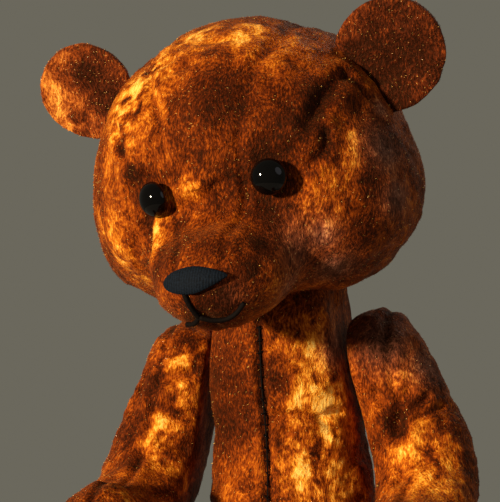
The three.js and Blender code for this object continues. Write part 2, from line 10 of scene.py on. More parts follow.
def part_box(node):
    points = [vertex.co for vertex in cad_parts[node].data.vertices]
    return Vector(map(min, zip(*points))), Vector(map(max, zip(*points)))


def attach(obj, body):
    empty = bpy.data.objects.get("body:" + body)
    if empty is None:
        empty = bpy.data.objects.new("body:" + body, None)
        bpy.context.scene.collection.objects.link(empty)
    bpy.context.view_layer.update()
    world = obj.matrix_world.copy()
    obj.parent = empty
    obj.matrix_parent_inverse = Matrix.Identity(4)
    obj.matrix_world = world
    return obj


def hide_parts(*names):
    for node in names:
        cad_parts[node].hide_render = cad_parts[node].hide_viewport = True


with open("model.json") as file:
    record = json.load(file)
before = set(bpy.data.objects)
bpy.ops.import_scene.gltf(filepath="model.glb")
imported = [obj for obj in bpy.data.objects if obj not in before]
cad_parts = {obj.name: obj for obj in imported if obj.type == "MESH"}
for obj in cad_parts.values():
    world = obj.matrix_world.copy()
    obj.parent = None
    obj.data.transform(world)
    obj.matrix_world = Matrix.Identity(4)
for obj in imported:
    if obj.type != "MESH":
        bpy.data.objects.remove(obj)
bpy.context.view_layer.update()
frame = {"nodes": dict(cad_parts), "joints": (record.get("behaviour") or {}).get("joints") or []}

# ---- camera, floor and light ----
# The camera stands a little to the bear's left at the height of its chin, and takes in the head
# and chest. The bear sits on a plain pale round floor in an even grey room, with a low warm key
# on its right.
MM = 0.001
joints = {joint["name"]: joint for joint in frame["joints"]}
HEAD_TURN, HEAD_ROLL, HEAD_NOD = radians(-1.5), radians(-9.3), radians(13)
HEAD_CENTRE = Vector((0, -4, 24.8)) * MM
neck_place = (
    Matrix.Translation(joints["neck"]["pos_m"])
    @ Matrix.Rotation(HEAD_TURN, 4, "Z")
    @ Matrix.Rotation(HEAD_ROLL, 4, "Y")
    @ Matrix.Rotation(HEAD_NOD, 4, "X")
)
head_place = neck_place @ Matrix.Translation(HEAD_CENTRE)
VIEW_TURN, VIEW_RISE = radians(19), radians(3)
VIEW_DISTANCE, VIEW_WIDTH, SENSOR_WIDTH = 0.42, 0.1055, 36
AIM_ASIDE, AIM_BELOW = 0.6, 19.2
FLOOR_RADIUS = 0.19


def set_camera():
    back = Vector((sin(VIEW_TURN) * cos(VIEW_RISE), -cos(VIEW_TURN) * cos(VIEW_RISE), sin(VIEW_RISE)))
    aim = back.to_track_quat("Z", "Y")
    right, up = aim @ Vector((1, 0, 0)), aim @ Vector((0, 1, 0))
    target = head_place.translation - AIM_ASIDE * MM * right - AIM_BELOW * MM * up
    data = bpy.data.cameras.new("camera")
    data.sensor_width = SENSOR_WIDTH
    data.lens = SENSOR_WIDTH * VIEW_DISTANCE / VIEW_WIDTH
    camera = bpy.data.objects.new("camera", data)
    camera.location = target + back * VIEW_DISTANCE
    camera.rotation_mode = "QUATERNION"
    camera.rotation_quaternion = aim
    bpy.context.scene.collection.objects.link(camera)
    bpy.context.scene.camera = camera
    return target, back, right, up


view_target, view_back, view_right, view_up = set_camera()


def add_lamp(name, kind, offset, size, power, colour):
    data = bpy.data.lights.new(name, kind)
    data.energy = power
    data.color = colour
    if kind == "SUN":
        data.angle = size
    else:
        data.shape = "DISK"
        data.size = size
    lamp = bpy.data.objects.new(name, data)
    lamp.location = view_target + offset
    lamp.rotation_mode = "QUATERNION"
    lamp.rotation_quaternion = offset.to_track_quat("Z", "Y")
    bpy.context.scene.collection.objects.link(lamp)


key_offset = -0.72 * view_right + 0.66 * view_back + 0.14 * view_up
fill_offset = 1.00 * view_right + 0.70 * view_back + 0.60 * view_up
back_offset = 0.60 * view_right - 0.90 * view_back + 0.90 * view_up
add_lamp("key_light", "SUN", key_offset, radians(5), 6.6, (1.0, 0.83, 0.60))
add_lamp("fill_light", "AREA", fill_offset, 0.9, 2.0, (0.95, 0.92, 1.0))
add_lamp("back_light", "AREA", back_offset, 0.6, 2.0, (1.0, 0.93, 0.85))

world = bpy.data.worlds.new("studio")
world.use_nodes = True
sky = world.node_tree.nodes["Background"]
sky.inputs["Color"].default_value = (0.84, 0.79, 0.62, 1)
sky.inputs["Strength"].default_value = 0.175
bpy.context.scene.world = world
bpy.context.scene.view_settings.view_transform = "Standard"


def new_object(name, bm, place=None):
    """A mesh object at the origin, with its place in its mesh."""
    if place is not None:
        bmesh.ops.transform(bm, matrix=place, verts=bm.verts)
    mesh = bpy.data.meshes.new(name)
    bm.to_mesh(mesh)
    bm.free()
    mesh.shade_smooth()
    piece = bpy.data.objects.new(name, mesh)
    bpy.context.scene.collection.objects.link(piece)
    return piece


def set_inputs(tree, node, values):
    """Sets a node's inputs: an output of another node is linked, any other value is written in."""
    for name, value in values.items():
        if isinstance(value, bpy.types.NodeSocket):
            tree.links.new(value, node.inputs[name])
        else:
            node.inputs[name].default_value = value


def new_material(name, settings):
    """A material with its shader set, and the tree that its other nodes go into."""
    material = bpy.data.materials.new(name)
    material.use_nodes = True
    shader = material.node_tree.nodes["Principled BSDF"]
    set_inputs(material.node_tree, shader, settings)
    return material, material.node_tree, shader


def add_floor():
    bm = bmesh.new()
    bmesh.ops.create_circle(bm, cap_ends=True, segments=96, radius=FLOOR_RADIUS)
    floor = new_object("floor", bm)
    settings = {"Base Color": (0.55, 0.54, 0.51, 1), "Roughness": 0.85}
    floor.data.materials.append(new_material("pale_floor", settings)[0])


add_floor()

# ---- the plush ----
# Short silky pile on a woven backing, pressed flat here and there by handling. The cloth and its pile both
# read one number for each place, the nap, which is kept as an attribute on the mesh. Its colour holds painted
# light: from a deep red-brown, painted shade where the pile stands or is dented, through the plush's own
# copper, to gold, painted sheen where the pile lies flat.
# The nap's colours: the dark end is painted shade, the middle is the plush's own copper and the gold end is
# painted sheen.
NAP_SHADE_TO_SHEEN_STOPS = (
    (0.0, (0.014, 0.0016, 0.0003, 1)),
    (0.22, (0.070, 0.0085, 0.0008, 1)),
    (0.45, (0.270, 0.0450, 0.0020, 1)),
    (0.65, (0.560, 0.1500, 0.0070, 1)),
    (0.85, (0.920, 0.3800, 0.0350, 1)),
    (1.0, (1.0, 0.5800, 0.1200, 1)),
)
# The colours of a mauve painted sheen, the cool sheen on the shaded side.
MAUVE_SHEEN_STOPS = (
    (0.0, (0.022, 0.006, 0.003, 1)),
    (0.40, (0.150, 0.058, 0.036, 1)),
    (1.0, (0.800, 0.460, 0.270, 1)),
)
# Each fibre is painted lighter towards its tip: painted shade at the root among the other fibres, painted
# light on the tip.
TIP_LIGHT_OVER_ROOT_SHADE = 0.16
SILK_TINT, SHEEN_TINT = (1.0, 0.62, 0.28, 1), (1.0, 0.5, 0.2, 1)


def add_node(tree, kind, values, **own):
    """A node with its own settings made first, and then its inputs."""
    node = tree.nodes.new(kind)
    for name, value in own.items():
        setattr(node, name, value)
    set_inputs(tree, node, values)
    return node


def colour_ramp(tree, value, stops):
    ramp = add_node(tree, "ShaderNodeValToRGB", {"Fac": value})
    elements = ramp.color_ramp.elements
    elements[0].position, elements[0].color = stops[0]
    elements[1].position, elements[1].color = stops[-1]
    for position, colour in stops[1:-1]:
        elements.new(position).color = colour
    return ramp.outputs["Color"]


def add_bump(tree, shader, height, strength, distance):
    values = {"Strength": strength, "Distance": distance, "Height": height}
    bump = add_node(tree, "ShaderNodeBump", values)
    set_inputs(tree, shader, {"Normal": bump.outputs["Normal"]})


def scaled(tree, value, settings):
    return add_node(tree, "ShaderNodeMapRange", {"Value": value, **settings}).outputs["Result"]


def own_place(tree):
    return add_node(tree, "ShaderNodeTexCoord", {}).outputs["Object"]


def fine_noise(tree, settings):
    values = {"Vector": own_place(tree), **settings}
    return add_node(tree, "ShaderNodeTexNoise", values).outputs["Fac"]


def nap_group():
    """From the nap, the height on the fibre and its own chance to a colour of the plush, with its painted
    sheen and painted shade. The last input mixes in the mauve painted sheen of the shaded side.
    """
    group = bpy.data.node_groups.new("nap_sheen_and_shade_colours", "ShaderNodeTree")
    for name in ("Nap", "Tip", "Chance", "Spread", "Painted Sheen"):
        group.interface.new_socket(name, in_out="INPUT", socket_type="NodeSocketFloat")
    group.interface.new_socket("Color", in_out="OUTPUT", socket_type="NodeSocketColor")
    given = group.nodes.new("NodeGroupInput").outputs
    centred = add_node(group, "ShaderNodeMath", {0: given["Chance"], 1: 0.5}, operation="SUBTRACT")
    values = {0: centred.outputs[0], 1: given["Spread"], 2: given["Nap"]}
    spread = add_node(group, "ShaderNodeMath", values, operation="MULTIPLY_ADD")
    values = {0: given["Tip"], 1: TIP_LIGHT_OVER_ROOT_SHADE, 2: spread.outputs[0]}
    rise = add_node(group, "ShaderNodeMath", values, operation="MULTIPLY_ADD")
    gold = colour_ramp(group, rise.outputs[0], NAP_SHADE_TO_SHEEN_STOPS)
    mauve = colour_ramp(group, rise.outputs[0], MAUVE_SHEEN_STOPS)
    mix = add_node(group, "ShaderNodeMix", {0: given["Painted Sheen"], 6: gold, 7: mauve}, data_type="RGBA")
    add_node(group, "NodeGroupOutput", {"Color": mix.outputs[2]})
    return group


nap_sheen_and_shade_colours = nap_group()


def kept_value(tree, name):
    return add_node(tree, "ShaderNodeAttribute", {}, attribute_name=name).outputs["Fac"]


def nap_colour(tree, values):
    # The mauve painted sheen is kept as its own attribute on the mesh.
    values = {"Nap": kept_value(tree, "nap"), "Painted Sheen": kept_value(tree, "painted_sheen"), **values}
    return add_node(tree, "ShaderNodeGroup", values, node_tree=nap_sheen_and_shade_colours).outputs["Color"]


def cloth_material():
    """The cloth between the fibres: fine silky streaks in the nap's own colour. The same fine grain makes a
    bump and, in the colour, painted glints and painted shade between the fibres.
    """
    settings = {
        "Specular IOR Level": 0.12,
        "Specular Tint": SILK_TINT,
        "Sheen Weight": 0.06,
        "Sheen Roughness": 0.4,
        "Sheen Tint": SHEEN_TINT,
    }
    material, tree, shader = new_material("plush_cloth", settings)
    where = own_place(tree)
    bend = add_node(tree, "ShaderNodeTexNoise", {"Scale": 140, "Detail": 1, "Vector": where})
    values = {0: bend.outputs["Color"], 1: (0.0030, 0.0030, 0.0030), 2: where}
    drift = add_node(tree, "ShaderNodeVectorMath", values, operation="MULTIPLY_ADD")
    values = {"Scale": (1.0, 1.0, 0.42), "Rotation": (0.3, 0.35, 0.0), "Vector": drift.outputs[0]}
    stretch = add_node(tree, "ShaderNodeMapping", values).outputs["Vector"]
    values = {"Scale": 2400, "Detail": 3, "Roughness": 0.65, "Vector": stretch}
    grain = add_node(tree, "ShaderNodeTexNoise", values).outputs["Fac"]
    gloss = {"From Min": 0.2, "From Max": 0.8, "To Min": 0.62, "To Max": 0.42}
    # The grain in the colour is painted glints and painted shade between the fibres.
    set_inputs(tree, shader, {
        "Base Color": nap_colour(tree, {"Spread": 1.25, "Chance": grain}),
        "Roughness": scaled(tree, kept_value(tree, "nap"), gloss),
    })
    add_bump(tree, shader, grain, 1.0, 0.0005)
    return material


def pile_material():
    """The fibres: each with its own tone, and silky, painted lighter from the root to the tip, painted shade
    among the fibres and painted light on the tips. A few are painted the brightest gold as painted glints,
    and also have a glossy coat.
    """
    settings = {
        "Coat Roughness": 0.2,
        "Roughness": 0.34,
        "Specular IOR Level": 0.22,
        "Specular Tint": SILK_TINT,
        "Sheen Weight": 0.04,
        "Sheen Tint": SHEEN_TINT,
    }
    material, tree, shader = new_material("plush_pile", settings)
    chance = kept_value(tree, "chance")
    values = {"Spread": 0.30, "Tip": kept_value(tree, "tip"), "Chance": chance}
    set_inputs(tree, shader, {
        "Base Color": nap_colour(tree, values),
        "Coat Weight": scaled(tree, chance, {"From Min": 1.5, "From Max": 2.2}),
    })
    return material


plush_cloth = cloth_material()
plush_pile = pile_material()


def mesh_points(mesh, what="co"):
    found = np.empty(len(mesh.vertices) * 3)
    mesh.vertices.foreach_get(what, found)
    return found.reshape(-1, 3)


def to_local(points, place):
    """World metres to millimetres in a piece's own frame."""
    back = np.array(place.inverted())
    return (points @ back[:3, :3].T + back[:3, 3]) / MM


def noise_at(points, scale, octaves=3, shift=0.0):
    """Smooth noise of about -1 to 1 at each point, with lumps about scale across."""
    offset = Vector((shift, -shift, 2 * shift))
    return np.array([noise.fractal(Vector(p) / scale + offset, 0.7, 2.1, octaves) for p in points])


NAP_BASE, NAP_LOWEST, NAP_HIGHEST = 0.33, 0.03, 0.97
PATCH_SPREAD, PATCH_STRENGTH, SWIRL = 1.5, 1.25, 2.2


def nap_with_sheen_and_shade(points, shift, patches):
    """The nap from 0, dark red-brown in painted shade, to 1, gold in painted sheen, at points in millimetres.
    Its random lumps and streaks are partly the pile's own tone and partly painted sheen. A patch is a place,
    its radius and how much it lightens the nap; the patches are partly the pile's own light and dark and
    partly painted highlights where the light falls and painted shade and shadow where it does not."""
    warp = np.stack([noise_at(points, 13, 2, shift + k) for k in (3.1, 7.7, 12.3)], 1)
    broad = noise_at(points + 5 * warp, 15, 3, shift)
    streak = noise_at(points * (1.0, 1.0, 0.45) + 3 * warp, 4.5, 3, shift + 20)
    speck = noise_at(points + 2 * warp, 1.8, 2, shift + 30)
    nap = NAP_BASE + 0.12 * broad + 0.15 * streak + 0.12 * speck
    lighter, darker = np.zeros(len(points)), np.zeros(len(points))
    for x, y, z, radius, amount in patches:
        share = amount * np.exp(-np.sum((points - (x, y, z)) ** 2, 1) / (PATCH_SPREAD * radius) ** 2)
        lighter += np.maximum(share, 0) ** 2
        darker += np.minimum(share, 0) ** 2
    nap += PATCH_STRENGTH * (np.sqrt(lighter) - np.sqrt(darker)) * (1 + 0.9 * streak + 0.8 * speck)
    return np.clip(nap, NAP_LOWEST, NAP_HIGHEST)


def spots_of(points, patches):
    """How much of each point lies in a set of patches, from 0 to 1."""
    amount = np.zeros(len(points))
    for x, y, z, radius, strength in patches:
        share = np.exp(-np.sum((points - (x, y, z)) ** 2, 1) / (1.3 * radius) ** 2)
        amount = np.maximum(amount, strength * share)
    return amount


def set_attribute(mesh, name, values):
    attribute = mesh.attributes.new(name, "FLOAT", "POINT")
    attribute.data.foreach_set("value", np.asarray(values, np.float32))


def get_attribute(mesh, name):
    values = np.empty(len(mesh.vertices), np.float32)
    mesh.attributes[name].data.foreach_get("value", values)
    return values


def fibre_shape():
    """One tuft of fibres as a slim three-sided cone of unit length, its wide end at the origin."""
    bm = bmesh.new()
    bmesh.ops.create_cone(bm, cap_ends=True, segments=3, radius1=1, radius2=0, depth=1)
    bmesh.ops.translate(bm, vec=(0, 0, 0.5), verts=bm.verts)
    bmesh.ops.remove_doubles(bm, verts=bm.verts, dist=1e-4)
    bmesh.ops.recalc_face_normals(bm, faces=bm.faces)
    corners = np.array([v.co[:] for v in bm.verts])
    faces = [[v.index for v in f.verts] for f in bm.faces]
    bm.free()
    return corners, faces


def unit(vectors):
    return vectors / np.maximum(np.linalg.norm(vectors, axis=1), 1e-9)[:, None]


def comb(roots, normals, towards, shift):
    """The way each fibre lies along the cloth: one direction, turned about by the crushing."""
    along = np.tile(np.array(towards, float), (len(roots), 1))
    along = unit(along - normals * np.sum(along * normals, 1)[:, None])
    turn = SWIRL * noise_at(roots, 11, 2, shift + 40)
    across = np.cross(normals, along)
    return along * np.cos(turn)[:, None] + across * np.sin(turn)[:, None]


def lay_out_map(mesh, count, faces_each):
    """Gives every fibre its own small square of the colour map, with its faces side by side."""
    across = int(np.ceil(np.sqrt(count)))
    cell = np.arange(count)
    corner = np.stack([cell % across, cell // across], 1) / across
    start = np.stack([np.arange(faces_each) / faces_each, np.zeros(faces_each)], 1)
    shape = np.array([[0.08, 0.1], [0.92, 0.1], [0.5, 0.9]]) * (1 / faces_each, 1)
    inside = shape[None, :, :] + start[:, None, :]
    uv = corner[:, None, None, :] + inside[None] / across
    mesh.uv_layers.new(name="OFBake").data.foreach_set("uv", uv.ravel().astype(np.float32))


PILE_LENGTH, PILE_WIDTH, PILE_SUNK = 0.52, 0.14, 0.15
# A few fibres are painted the brightest gold, as painted glints.
GLINT_FROM, PAINTED_GLINT_LIFT = 0.93, 2.2


def grow_pile(name, cover, body, place, count, shift, towards, keep):
    """Covers a piece in fibres that lie with the nap, all in one mesh."""
    chance = np.random.default_rng(int(shift * 10))
    mesh = cover.data
    mesh.calc_loop_triangles()
    corners = np.empty(len(mesh.loop_triangles) * 3, np.int32)
    mesh.loop_triangles.foreach_get("vertices", corners)
    corners = corners.reshape(-1, 3)
    points = to_local(mesh_points(mesh), place)
    turn = np.array(place.inverted())[:3, :3]
    normals = mesh_points(mesh, "normal") @ turn.T
    edges = points[corners]
    areas = np.linalg.norm(np.cross(edges[:, 1] - edges[:, 0], edges[:, 2] - edges[:, 0]), axis=1)
    areas = areas * keep(edges.mean(1))
    chosen = corners[chance.choice(len(corners), count, p=areas / areas.sum())]
    share = chance.dirichlet((1, 1, 1), count)
    roots = np.einsum("ij,ijk->ik", share, points[chosen])
    out = unit(np.einsum("ij,ijk->ik", share, normals[chosen]))
    root_nap = np.einsum("ij,ij->i", share, get_attribute(mesh, "nap")[chosen])
    root_sheen = np.einsum("ij,ij->i", share, get_attribute(mesh, "painted_sheen")[chosen])
    lie = comb(roots, out, towards, shift)
    lie += 0.35 * chance.normal(size=lie.shape)
    lift = 0.22 + 0.50 * (1 - root_nap) + 0.25 * chance.random(count)
    axis = unit(lie + out * lift[:, None])
    side = unit(np.cross(axis, chance.normal(size=axis.shape)))
    other = np.cross(axis, side)
    long = PILE_LENGTH * (0.6 + 0.7 * chance.random(count))
    wide = PILE_WIDTH / 2 * (0.8 + 0.5 * chance.random(count))
    shape, faces = fibre_shape()
    size = len(shape)
    spots = (
        (roots - PILE_SUNK * out)[:, None, :]
        + (wide[:, None] * shape[:, 0])[:, :, None] * side[:, None, :]
        + (wide[:, None] * shape[:, 1])[:, :, None] * other[:, None, :]
        + (long[:, None] * shape[:, 2])[:, :, None] * axis[:, None, :]
    )
    forward = np.array(place)
    world_spots = spots.reshape(-1, 3) * MM @ forward[:3, :3].T + forward[:3, 3]
    base = (np.arange(count) * size)[:, None, None]
    indices = (np.array(faces)[None, :, :] + base).reshape(-1, 3)
    pile = bpy.data.meshes.new(name)
    pile.vertices.add(len(world_spots))
    pile.vertices.foreach_set("co", world_spots.ravel())
    pile.loops.add(indices.size)
    pile.loops.foreach_set("vertex_index", indices.ravel())
    pile.polygons.add(len(indices))
    pile.polygons.foreach_set("loop_start", np.arange(0, indices.size, 3))
    pile.update()
    # Most fibres get a random tone; a few are lifted past the top of the colours, as painted glints.
    tone_and_glint = chance.random(count)
    tone_and_glint = np.where(tone_and_glint > GLINT_FROM, PAINTED_GLINT_LIFT + tone_and_glint, tone_and_glint)
    set_attribute(pile, "nap", np.repeat(root_nap, size))
    set_attribute(pile, "painted_sheen", np.repeat(root_sheen, size))
    set_attribute(pile, "chance", np.repeat(tone_and_glint, size))
    set_attribute(pile, "tip", np.tile(shape[:, 2], count))
    lay_out_map(pile, count, len(faces))
    pile.materials.append(plush_pile)
    piece = bpy.data.objects.new(name, pile)
    bpy.context.scene.collection.objects.link(piece)
    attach(piece, body)


# ---- head ----
# Two side panels and a gusset from the nose over the crown, sewn and stuffed hard. The seams pull
# in a little, the eyes are drawn into the face, and a deep furrow runs down from the left ear.
SKULL = ((0, 0, 1), (32.5, 30, 28.6))
CHEEK = ((13.8, -4, -10.3), (20.5, 22, 18.6))
MUZZLE = ((0, -31, -16), (14.6, 15.5, 11.4))
HEAD_HEART = (0, -11, -7)
HEAD_BLEND, MUZZLE_BLEND = 10, 7.5
SKIN_FACE, NECK_SEAT, NECK_FALL = 0.25, 17, 0.35
HEAD_TUFTS = 30000
NOSE_HEIGHT, NOSE_BARE_HALF, NOSE_BARE_RISE = -12.9, 6.6, 2.4
HEAD_BASE = SKIN_FACE - HEAD_CENTRE.z / MM
HEAD_DEEPEST, DEEPEST = -2.4, -2.2
HEAD_FURROW = ((25.5, -8.5, 14.5), (24, -13, 13.5), (22.5, -17.5, 11.8), (20.4, -21, 8.4))
HEAD_FOLDS = (
    (((25.5, -8.5, 14.5), (28, -8, 12), (30, -7.5, 10)), 1.2, 1.1),
    (((23.5, -20.5, 6.8), (23.8, -22.3, 3.6), (21, -25, 1.5)), 0.9, 1.0),
    (((-20.5, -19.5, 14.5), (-19, -22, 11), (-16, -25, 6)), 0.9, 1.0),
    (((-15.2, -29.8, -10), (-14.6, -27.2, -5), (-13.6, -27, -1.2)), 0.9, 1.3),
)
HEAD_RIDGE = ((-12.2, -34.5, -10.5), (-12, -29.5, -5), (-10, -28.5, 0), (-1, -30.5, 2))
# Lighter and darker patches of the head's nap: partly its own, partly painted highlights where the light
# falls and painted shade on the shaded side and in hollows.
HEAD_NAP_AND_LIGHT_PATCHES = (
    (-17, -15, 20, 4.5, 0.34), (-19, -20, 14, 3.7, 0.25), (-13, -11, 24, 4.1, 0.32), (-3, -6, 28, 3.1, 0.3),
    (8, -9, 27, 3.1, 0.28), (17, -8, 24, 2.8, 0.16), (6, -24, 17, 5.5, -0.18), (13, -15, 23, 3.6, 0.1),
    (21, -21, 12, 4.3, -0.24), (18, -25, 8, 3.9, -0.2), (12, -27, 6, 2.4, -0.2), (-22, -21, 8, 2.5, 0.15),
    (-19, -22, 11, 1.4, -0.3), (-16, -25, 6, 1.6, -0.25), (-23, -24, -6, 3.1, 0.22), (-28, -20, -3, 1.9, 0.2),
    (-24, -23, -12, 2.5, 0.28), (-22, -21, -17, 1.9, 0.3), (-10, -28, 0, 1.8, 0.3), (-1, -30, 2, 2.0, 0.22),
    (-12, -29, -5, 1.6, 0.3), (-12, -33, -9, 1.4, 0.25), (4, -31, -2, 2.8, -0.05), (1, -41, -7, 3.1, -0.04),
    (12, -30, -6, 2.2, -0.22), (11, -36, -10, 2.2, -0.26), (10, -41, -14, 2.1, -0.26),
    (23, -24, -5, 3.4, 0.14), (19, -27, -9, 2.6, 0.18),
    (27, -20, -1, 1.9, 0.24), (28, -17, 3, 1.4, 0.22), (29.5, -19, -5, 1.9, -0.25),
    (27, -21, -13, 2.4, -0.2), (34, -6, -11, 1.8, 0.1), (24, -19, -21, 2.8, -0.05), (28, -12, 10, 2.0, -0.15),
    (25, -19, 9, 1.6, 0.12), (22, -17, 12, 1.6, -0.3), (6, -30, 3, 2.5, -0.1), (2, -46, -19, 3.5, -0.25),
    (27, -15, 13, 2.6, -0.12), (14, -20, 18, 4, -0.08), (-14, -28, -3, 1.6, -0.15), (-15, -17, 20, 7, 0.2),
    (-8, -8, 27, 7, 0.14), (-4, -40, -8, 6, -0.08),
)
# Spots of mauve painted sheen on the shaded cheek and the side of the muzzle.
HEAD_SHEEN_SPOTS = (
    (16, -29, -14, 4.2, 0.5), (13, -31, -20, 3.2, 0.5), (20, -22, -21, 3.4, 0.9), (32, -12, 0, 3.8, 0.9),
    (33, -14, -10, 3.0, 0.8), (20, -26, -13, 2.8, 0.6), (32, -7, 7, 2.0, 0.7), (6, -44, -18, 2.7, 0.25),
    (34, -2, -4, 3.4, 0.4),
)


def oval(points, size):
    """The distance from each point to an oval form, close enough near its surface."""
    centre, radii = np.array(size[0], float), np.array(size[1], float)
    reach = (points - centre) / radii
    length = np.linalg.norm(reach, axis=1)
    slope = np.linalg.norm(reach / radii, axis=1)
    return length * (length - 1) / np.maximum(slope, 1e-9)


def joined(a, b, width):
    """Two forms run together with a rounded valley."""
    share = np.maximum(width - np.abs(a - b), 0) / width
    return np.minimum(a, b) - share * share * width / 4


def trimmed(a, b, width):
    """What is inside both forms, with a rounded edge."""
    return -joined(-a, -b, width)


def head_form(points):
    mirrored = points * 1.0
    mirrored[:, 0] = np.abs(mirrored[:, 0])
    skull = joined(oval(points, SKULL), oval(mirrored, CHEEK), HEAD_BLEND)
    whole = joined(skull, oval(points, MUZZLE), MUZZLE_BLEND)
    outside = np.maximum(np.hypot(points[:, 0], points[:, 1] + HEAD_CENTRE.y / MM) - NECK_SEAT, 0)
    return trimmed(whole, HEAD_BASE - NECK_FALL * outside - points[:, 2], 2)


LONGEST_RAY, HALVINGS = 90.0, 26


def stuff_out(form, heart, ways, level=0.0):
    """Where rays from inside a form leave it, in millimetres."""
    ways = unit(np.array(ways, float))
    near, far = np.zeros(len(ways)), np.full(len(ways), LONGEST_RAY)
    for _ in range(HALVINGS):
        middle = (near + far) / 2
        inside = form(np.array(heart) + ways * middle[:, None]) < level
        near, far = np.where(inside, middle, near), np.where(inside, far, middle)
    return np.array(heart) + ways * near[:, None]


def blown_ball(form, heart, stretch=1.0):
    """A ball of cloth blown up until it fills a form."""
    bm = bmesh.new()
    bmesh.ops.create_icosphere(bm, subdivisions=6, radius=1)
    ways = np.array([v.co[:] for v in bm.verts]) * (1, 1, stretch)
    for vertex, spot in zip(bm.verts, stuff_out(form, heart, ways)):
        vertex.co = spot * MM
    return bm


def gusset_half(y):
    return np.interp(y, (-60, -38, -26, -8, 10, 34), (5, 5.2, 8.5, 15, 15, 8))


def head_seams(points):
    """The distance from each point to the nearest seam of the head."""
    floor = -11.5 - 4.5 * (points[:, 1] + 48) / 90
    gusset = np.abs(np.abs(points[:, 0]) - gusset_half(points[:, 1]))
    gusset = np.where(points[:, 2] > floor, gusset, np.hypot(gusset, points[:, 2] - floor))
    below = np.where(points[:, 2] < floor, np.abs(points[:, 0]), np.hypot(points[:, 0], points[:, 2] - floor))
    return np.minimum(gusset, below)


def path_distance(points, path):
    """The distance from each point to a bent line."""
    best = np.full(len(points), 1e9)
    for start, end in zip(path, path[1:]):
        start, along = np.array(start, float), np.array(end, float) - np.array(start, float)
        share = np.clip((points - start) @ along / (along @ along), 0, 1)
        best = np.minimum(best, np.linalg.norm(points - start - share[:, None] * along, axis=1))
    return best


def distance_to(points, spot):
    return np.linalg.norm(points - spot, axis=1)


def fold(distance, depth, width):
    """A crease of a given depth with a soft lip on each side."""
    lip = np.exp(-((distance - 2.2 * width) / width) ** 2)
    return depth * (0.3 * lip - np.exp(-(distance / width) ** 2))


def near_to(distance, width):
    return np.exp(-(distance / width) ** 2)


def creased(relief, points, creases):
    """A relief with folds added, each given by a path, its depth and its width."""
    for path, deep, wide in creases:
        relief = relief + fold(path_distance(points, path), deep, wide)
    return relief


def nap_shaded_in_folds(nap, points, creases, amount):
    """A nap darkened along its folds: painted shade in the creases."""
    for path, deep, wide in creases:
        nap = nap - amount * deep * near_to(path_distance(points, path), wide)
    return nap


def push(piece, place, shift_of):
    """Moves a piece's points along their normals by millimetres given by a function."""
    mesh = piece.data
    points, normals = mesh_points(mesh), mesh_points(mesh, "normal")
    amount = shift_of(to_local(points, place))
    mesh.vertices.foreach_set("co", (points + normals * amount[:, None] * MM).ravel())
    mesh.update()


SIM_SCALE, SIM_FRAMES, SIM_PRESSURE = 6.0, 20, 4.0
SIM_SPARE, SIM_DRAWN, SIM_CAP = 0.05, 1.1, 0.5


def settle(piece, place, held_at):
    """Blows the sewn cover up as cloth with a little to spare, held along its seams, so that it
    puckers. It starts a little smaller and is simulated at the size of a large cushion. No point
    ends further than the cap from the shape it was cut to."""
    mesh = piece.data
    start = mesh_points(mesh)
    trial = bpy.data.objects.new("trial", mesh.copy())
    small = start - SIM_DRAWN * MM * mesh_points(mesh, "normal")
    trial.data.vertices.foreach_set("co", small.ravel())
    trial.data.transform(Matrix.Scale(SIM_SCALE, 4))
    bpy.context.scene.collection.objects.link(trial)
    group = trial.vertex_groups.new(name="held")
    for index, weight in enumerate(held_at(to_local(start, place))):
        if weight > 0.02:
            group.add([index], min(float(weight), 1.0), "REPLACE")
    cloth = trial.modifiers.new("cloth", "CLOTH")
    cloth.settings.quality = 5
    cloth.settings.mass = 0.3
    cloth.settings.use_pressure = True
    cloth.settings.uniform_pressure_force = SIM_PRESSURE
    cloth.settings.shrink_min = -SIM_SPARE
    cloth.settings.bending_stiffness = 0.3
    cloth.settings.vertex_group_mass = "held"
    cloth.settings.effector_weights.gravity = 0
    cloth.point_cache.frame_start, cloth.point_cache.frame_end = 1, SIM_FRAMES
    for step in range(1, SIM_FRAMES + 1):
        bpy.context.scene.frame_set(step)
    graph = bpy.context.evaluated_depsgraph_get()
    moved = mesh_points(trial.evaluated_get(graph).data) / SIM_SCALE - start
    length = np.linalg.norm(moved, axis=1)
    share = np.minimum(1, SIM_CAP * MM / np.maximum(length, 1e-9))
    mesh.vertices.foreach_set("co", (start + moved * share[:, None]).ravel())
    mesh.update()
    bpy.context.scene.frame_set(1)
    bpy.data.objects.remove(trial)


def refine(piece):
    """Divides every face in four and rounds the result."""
    bm = bmesh.new()
    bm.from_mesh(piece.data)
    bmesh.ops.subdivide_edges(bm, edges=bm.edges, cuts=1, use_grid_fill=True)
    bmesh.ops.smooth_vert(bm, verts=bm.verts, factor=0.5, use_axis_x=True, use_axis_y=True,
                          use_axis_z=True)
    bm.to_mesh(piece.data)
    bm.free()
    piece.data.shade_smooth()


fillings = []


def sew(name, bm, place, held_at, relief):
    """Makes a cover and keeps a copy of it for its filling, blows it up and presses in its relief.
    It gives the cover and its points in millimetres."""
    cover = new_object(f"{name}_cover", bm, place)
    filling = bpy.data.objects.new(f"{name}_filling", cover.data.copy())
    filling.data.name = filling.name
    fillings.append((filling, name, (f"{name}_stuffing",)))
    settle(cover, place, held_at)
    refine(cover)
    push(cover, place, relief)
    return cover, to_local(mesh_points(cover.data), place)


def dress(cover, body, nap, painted_sheen, fill, *panels):
    set_attribute(cover.data, "nap", np.clip(nap, 0.02, 0.97))
    set_attribute(cover.data, "painted_sheen", painted_sheen)
    cover.data.materials.append(plush_cloth)
    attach(cover, body)
    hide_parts(*panels)


def middle_of(node):
    low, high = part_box(node)
    return (low + high) / 2


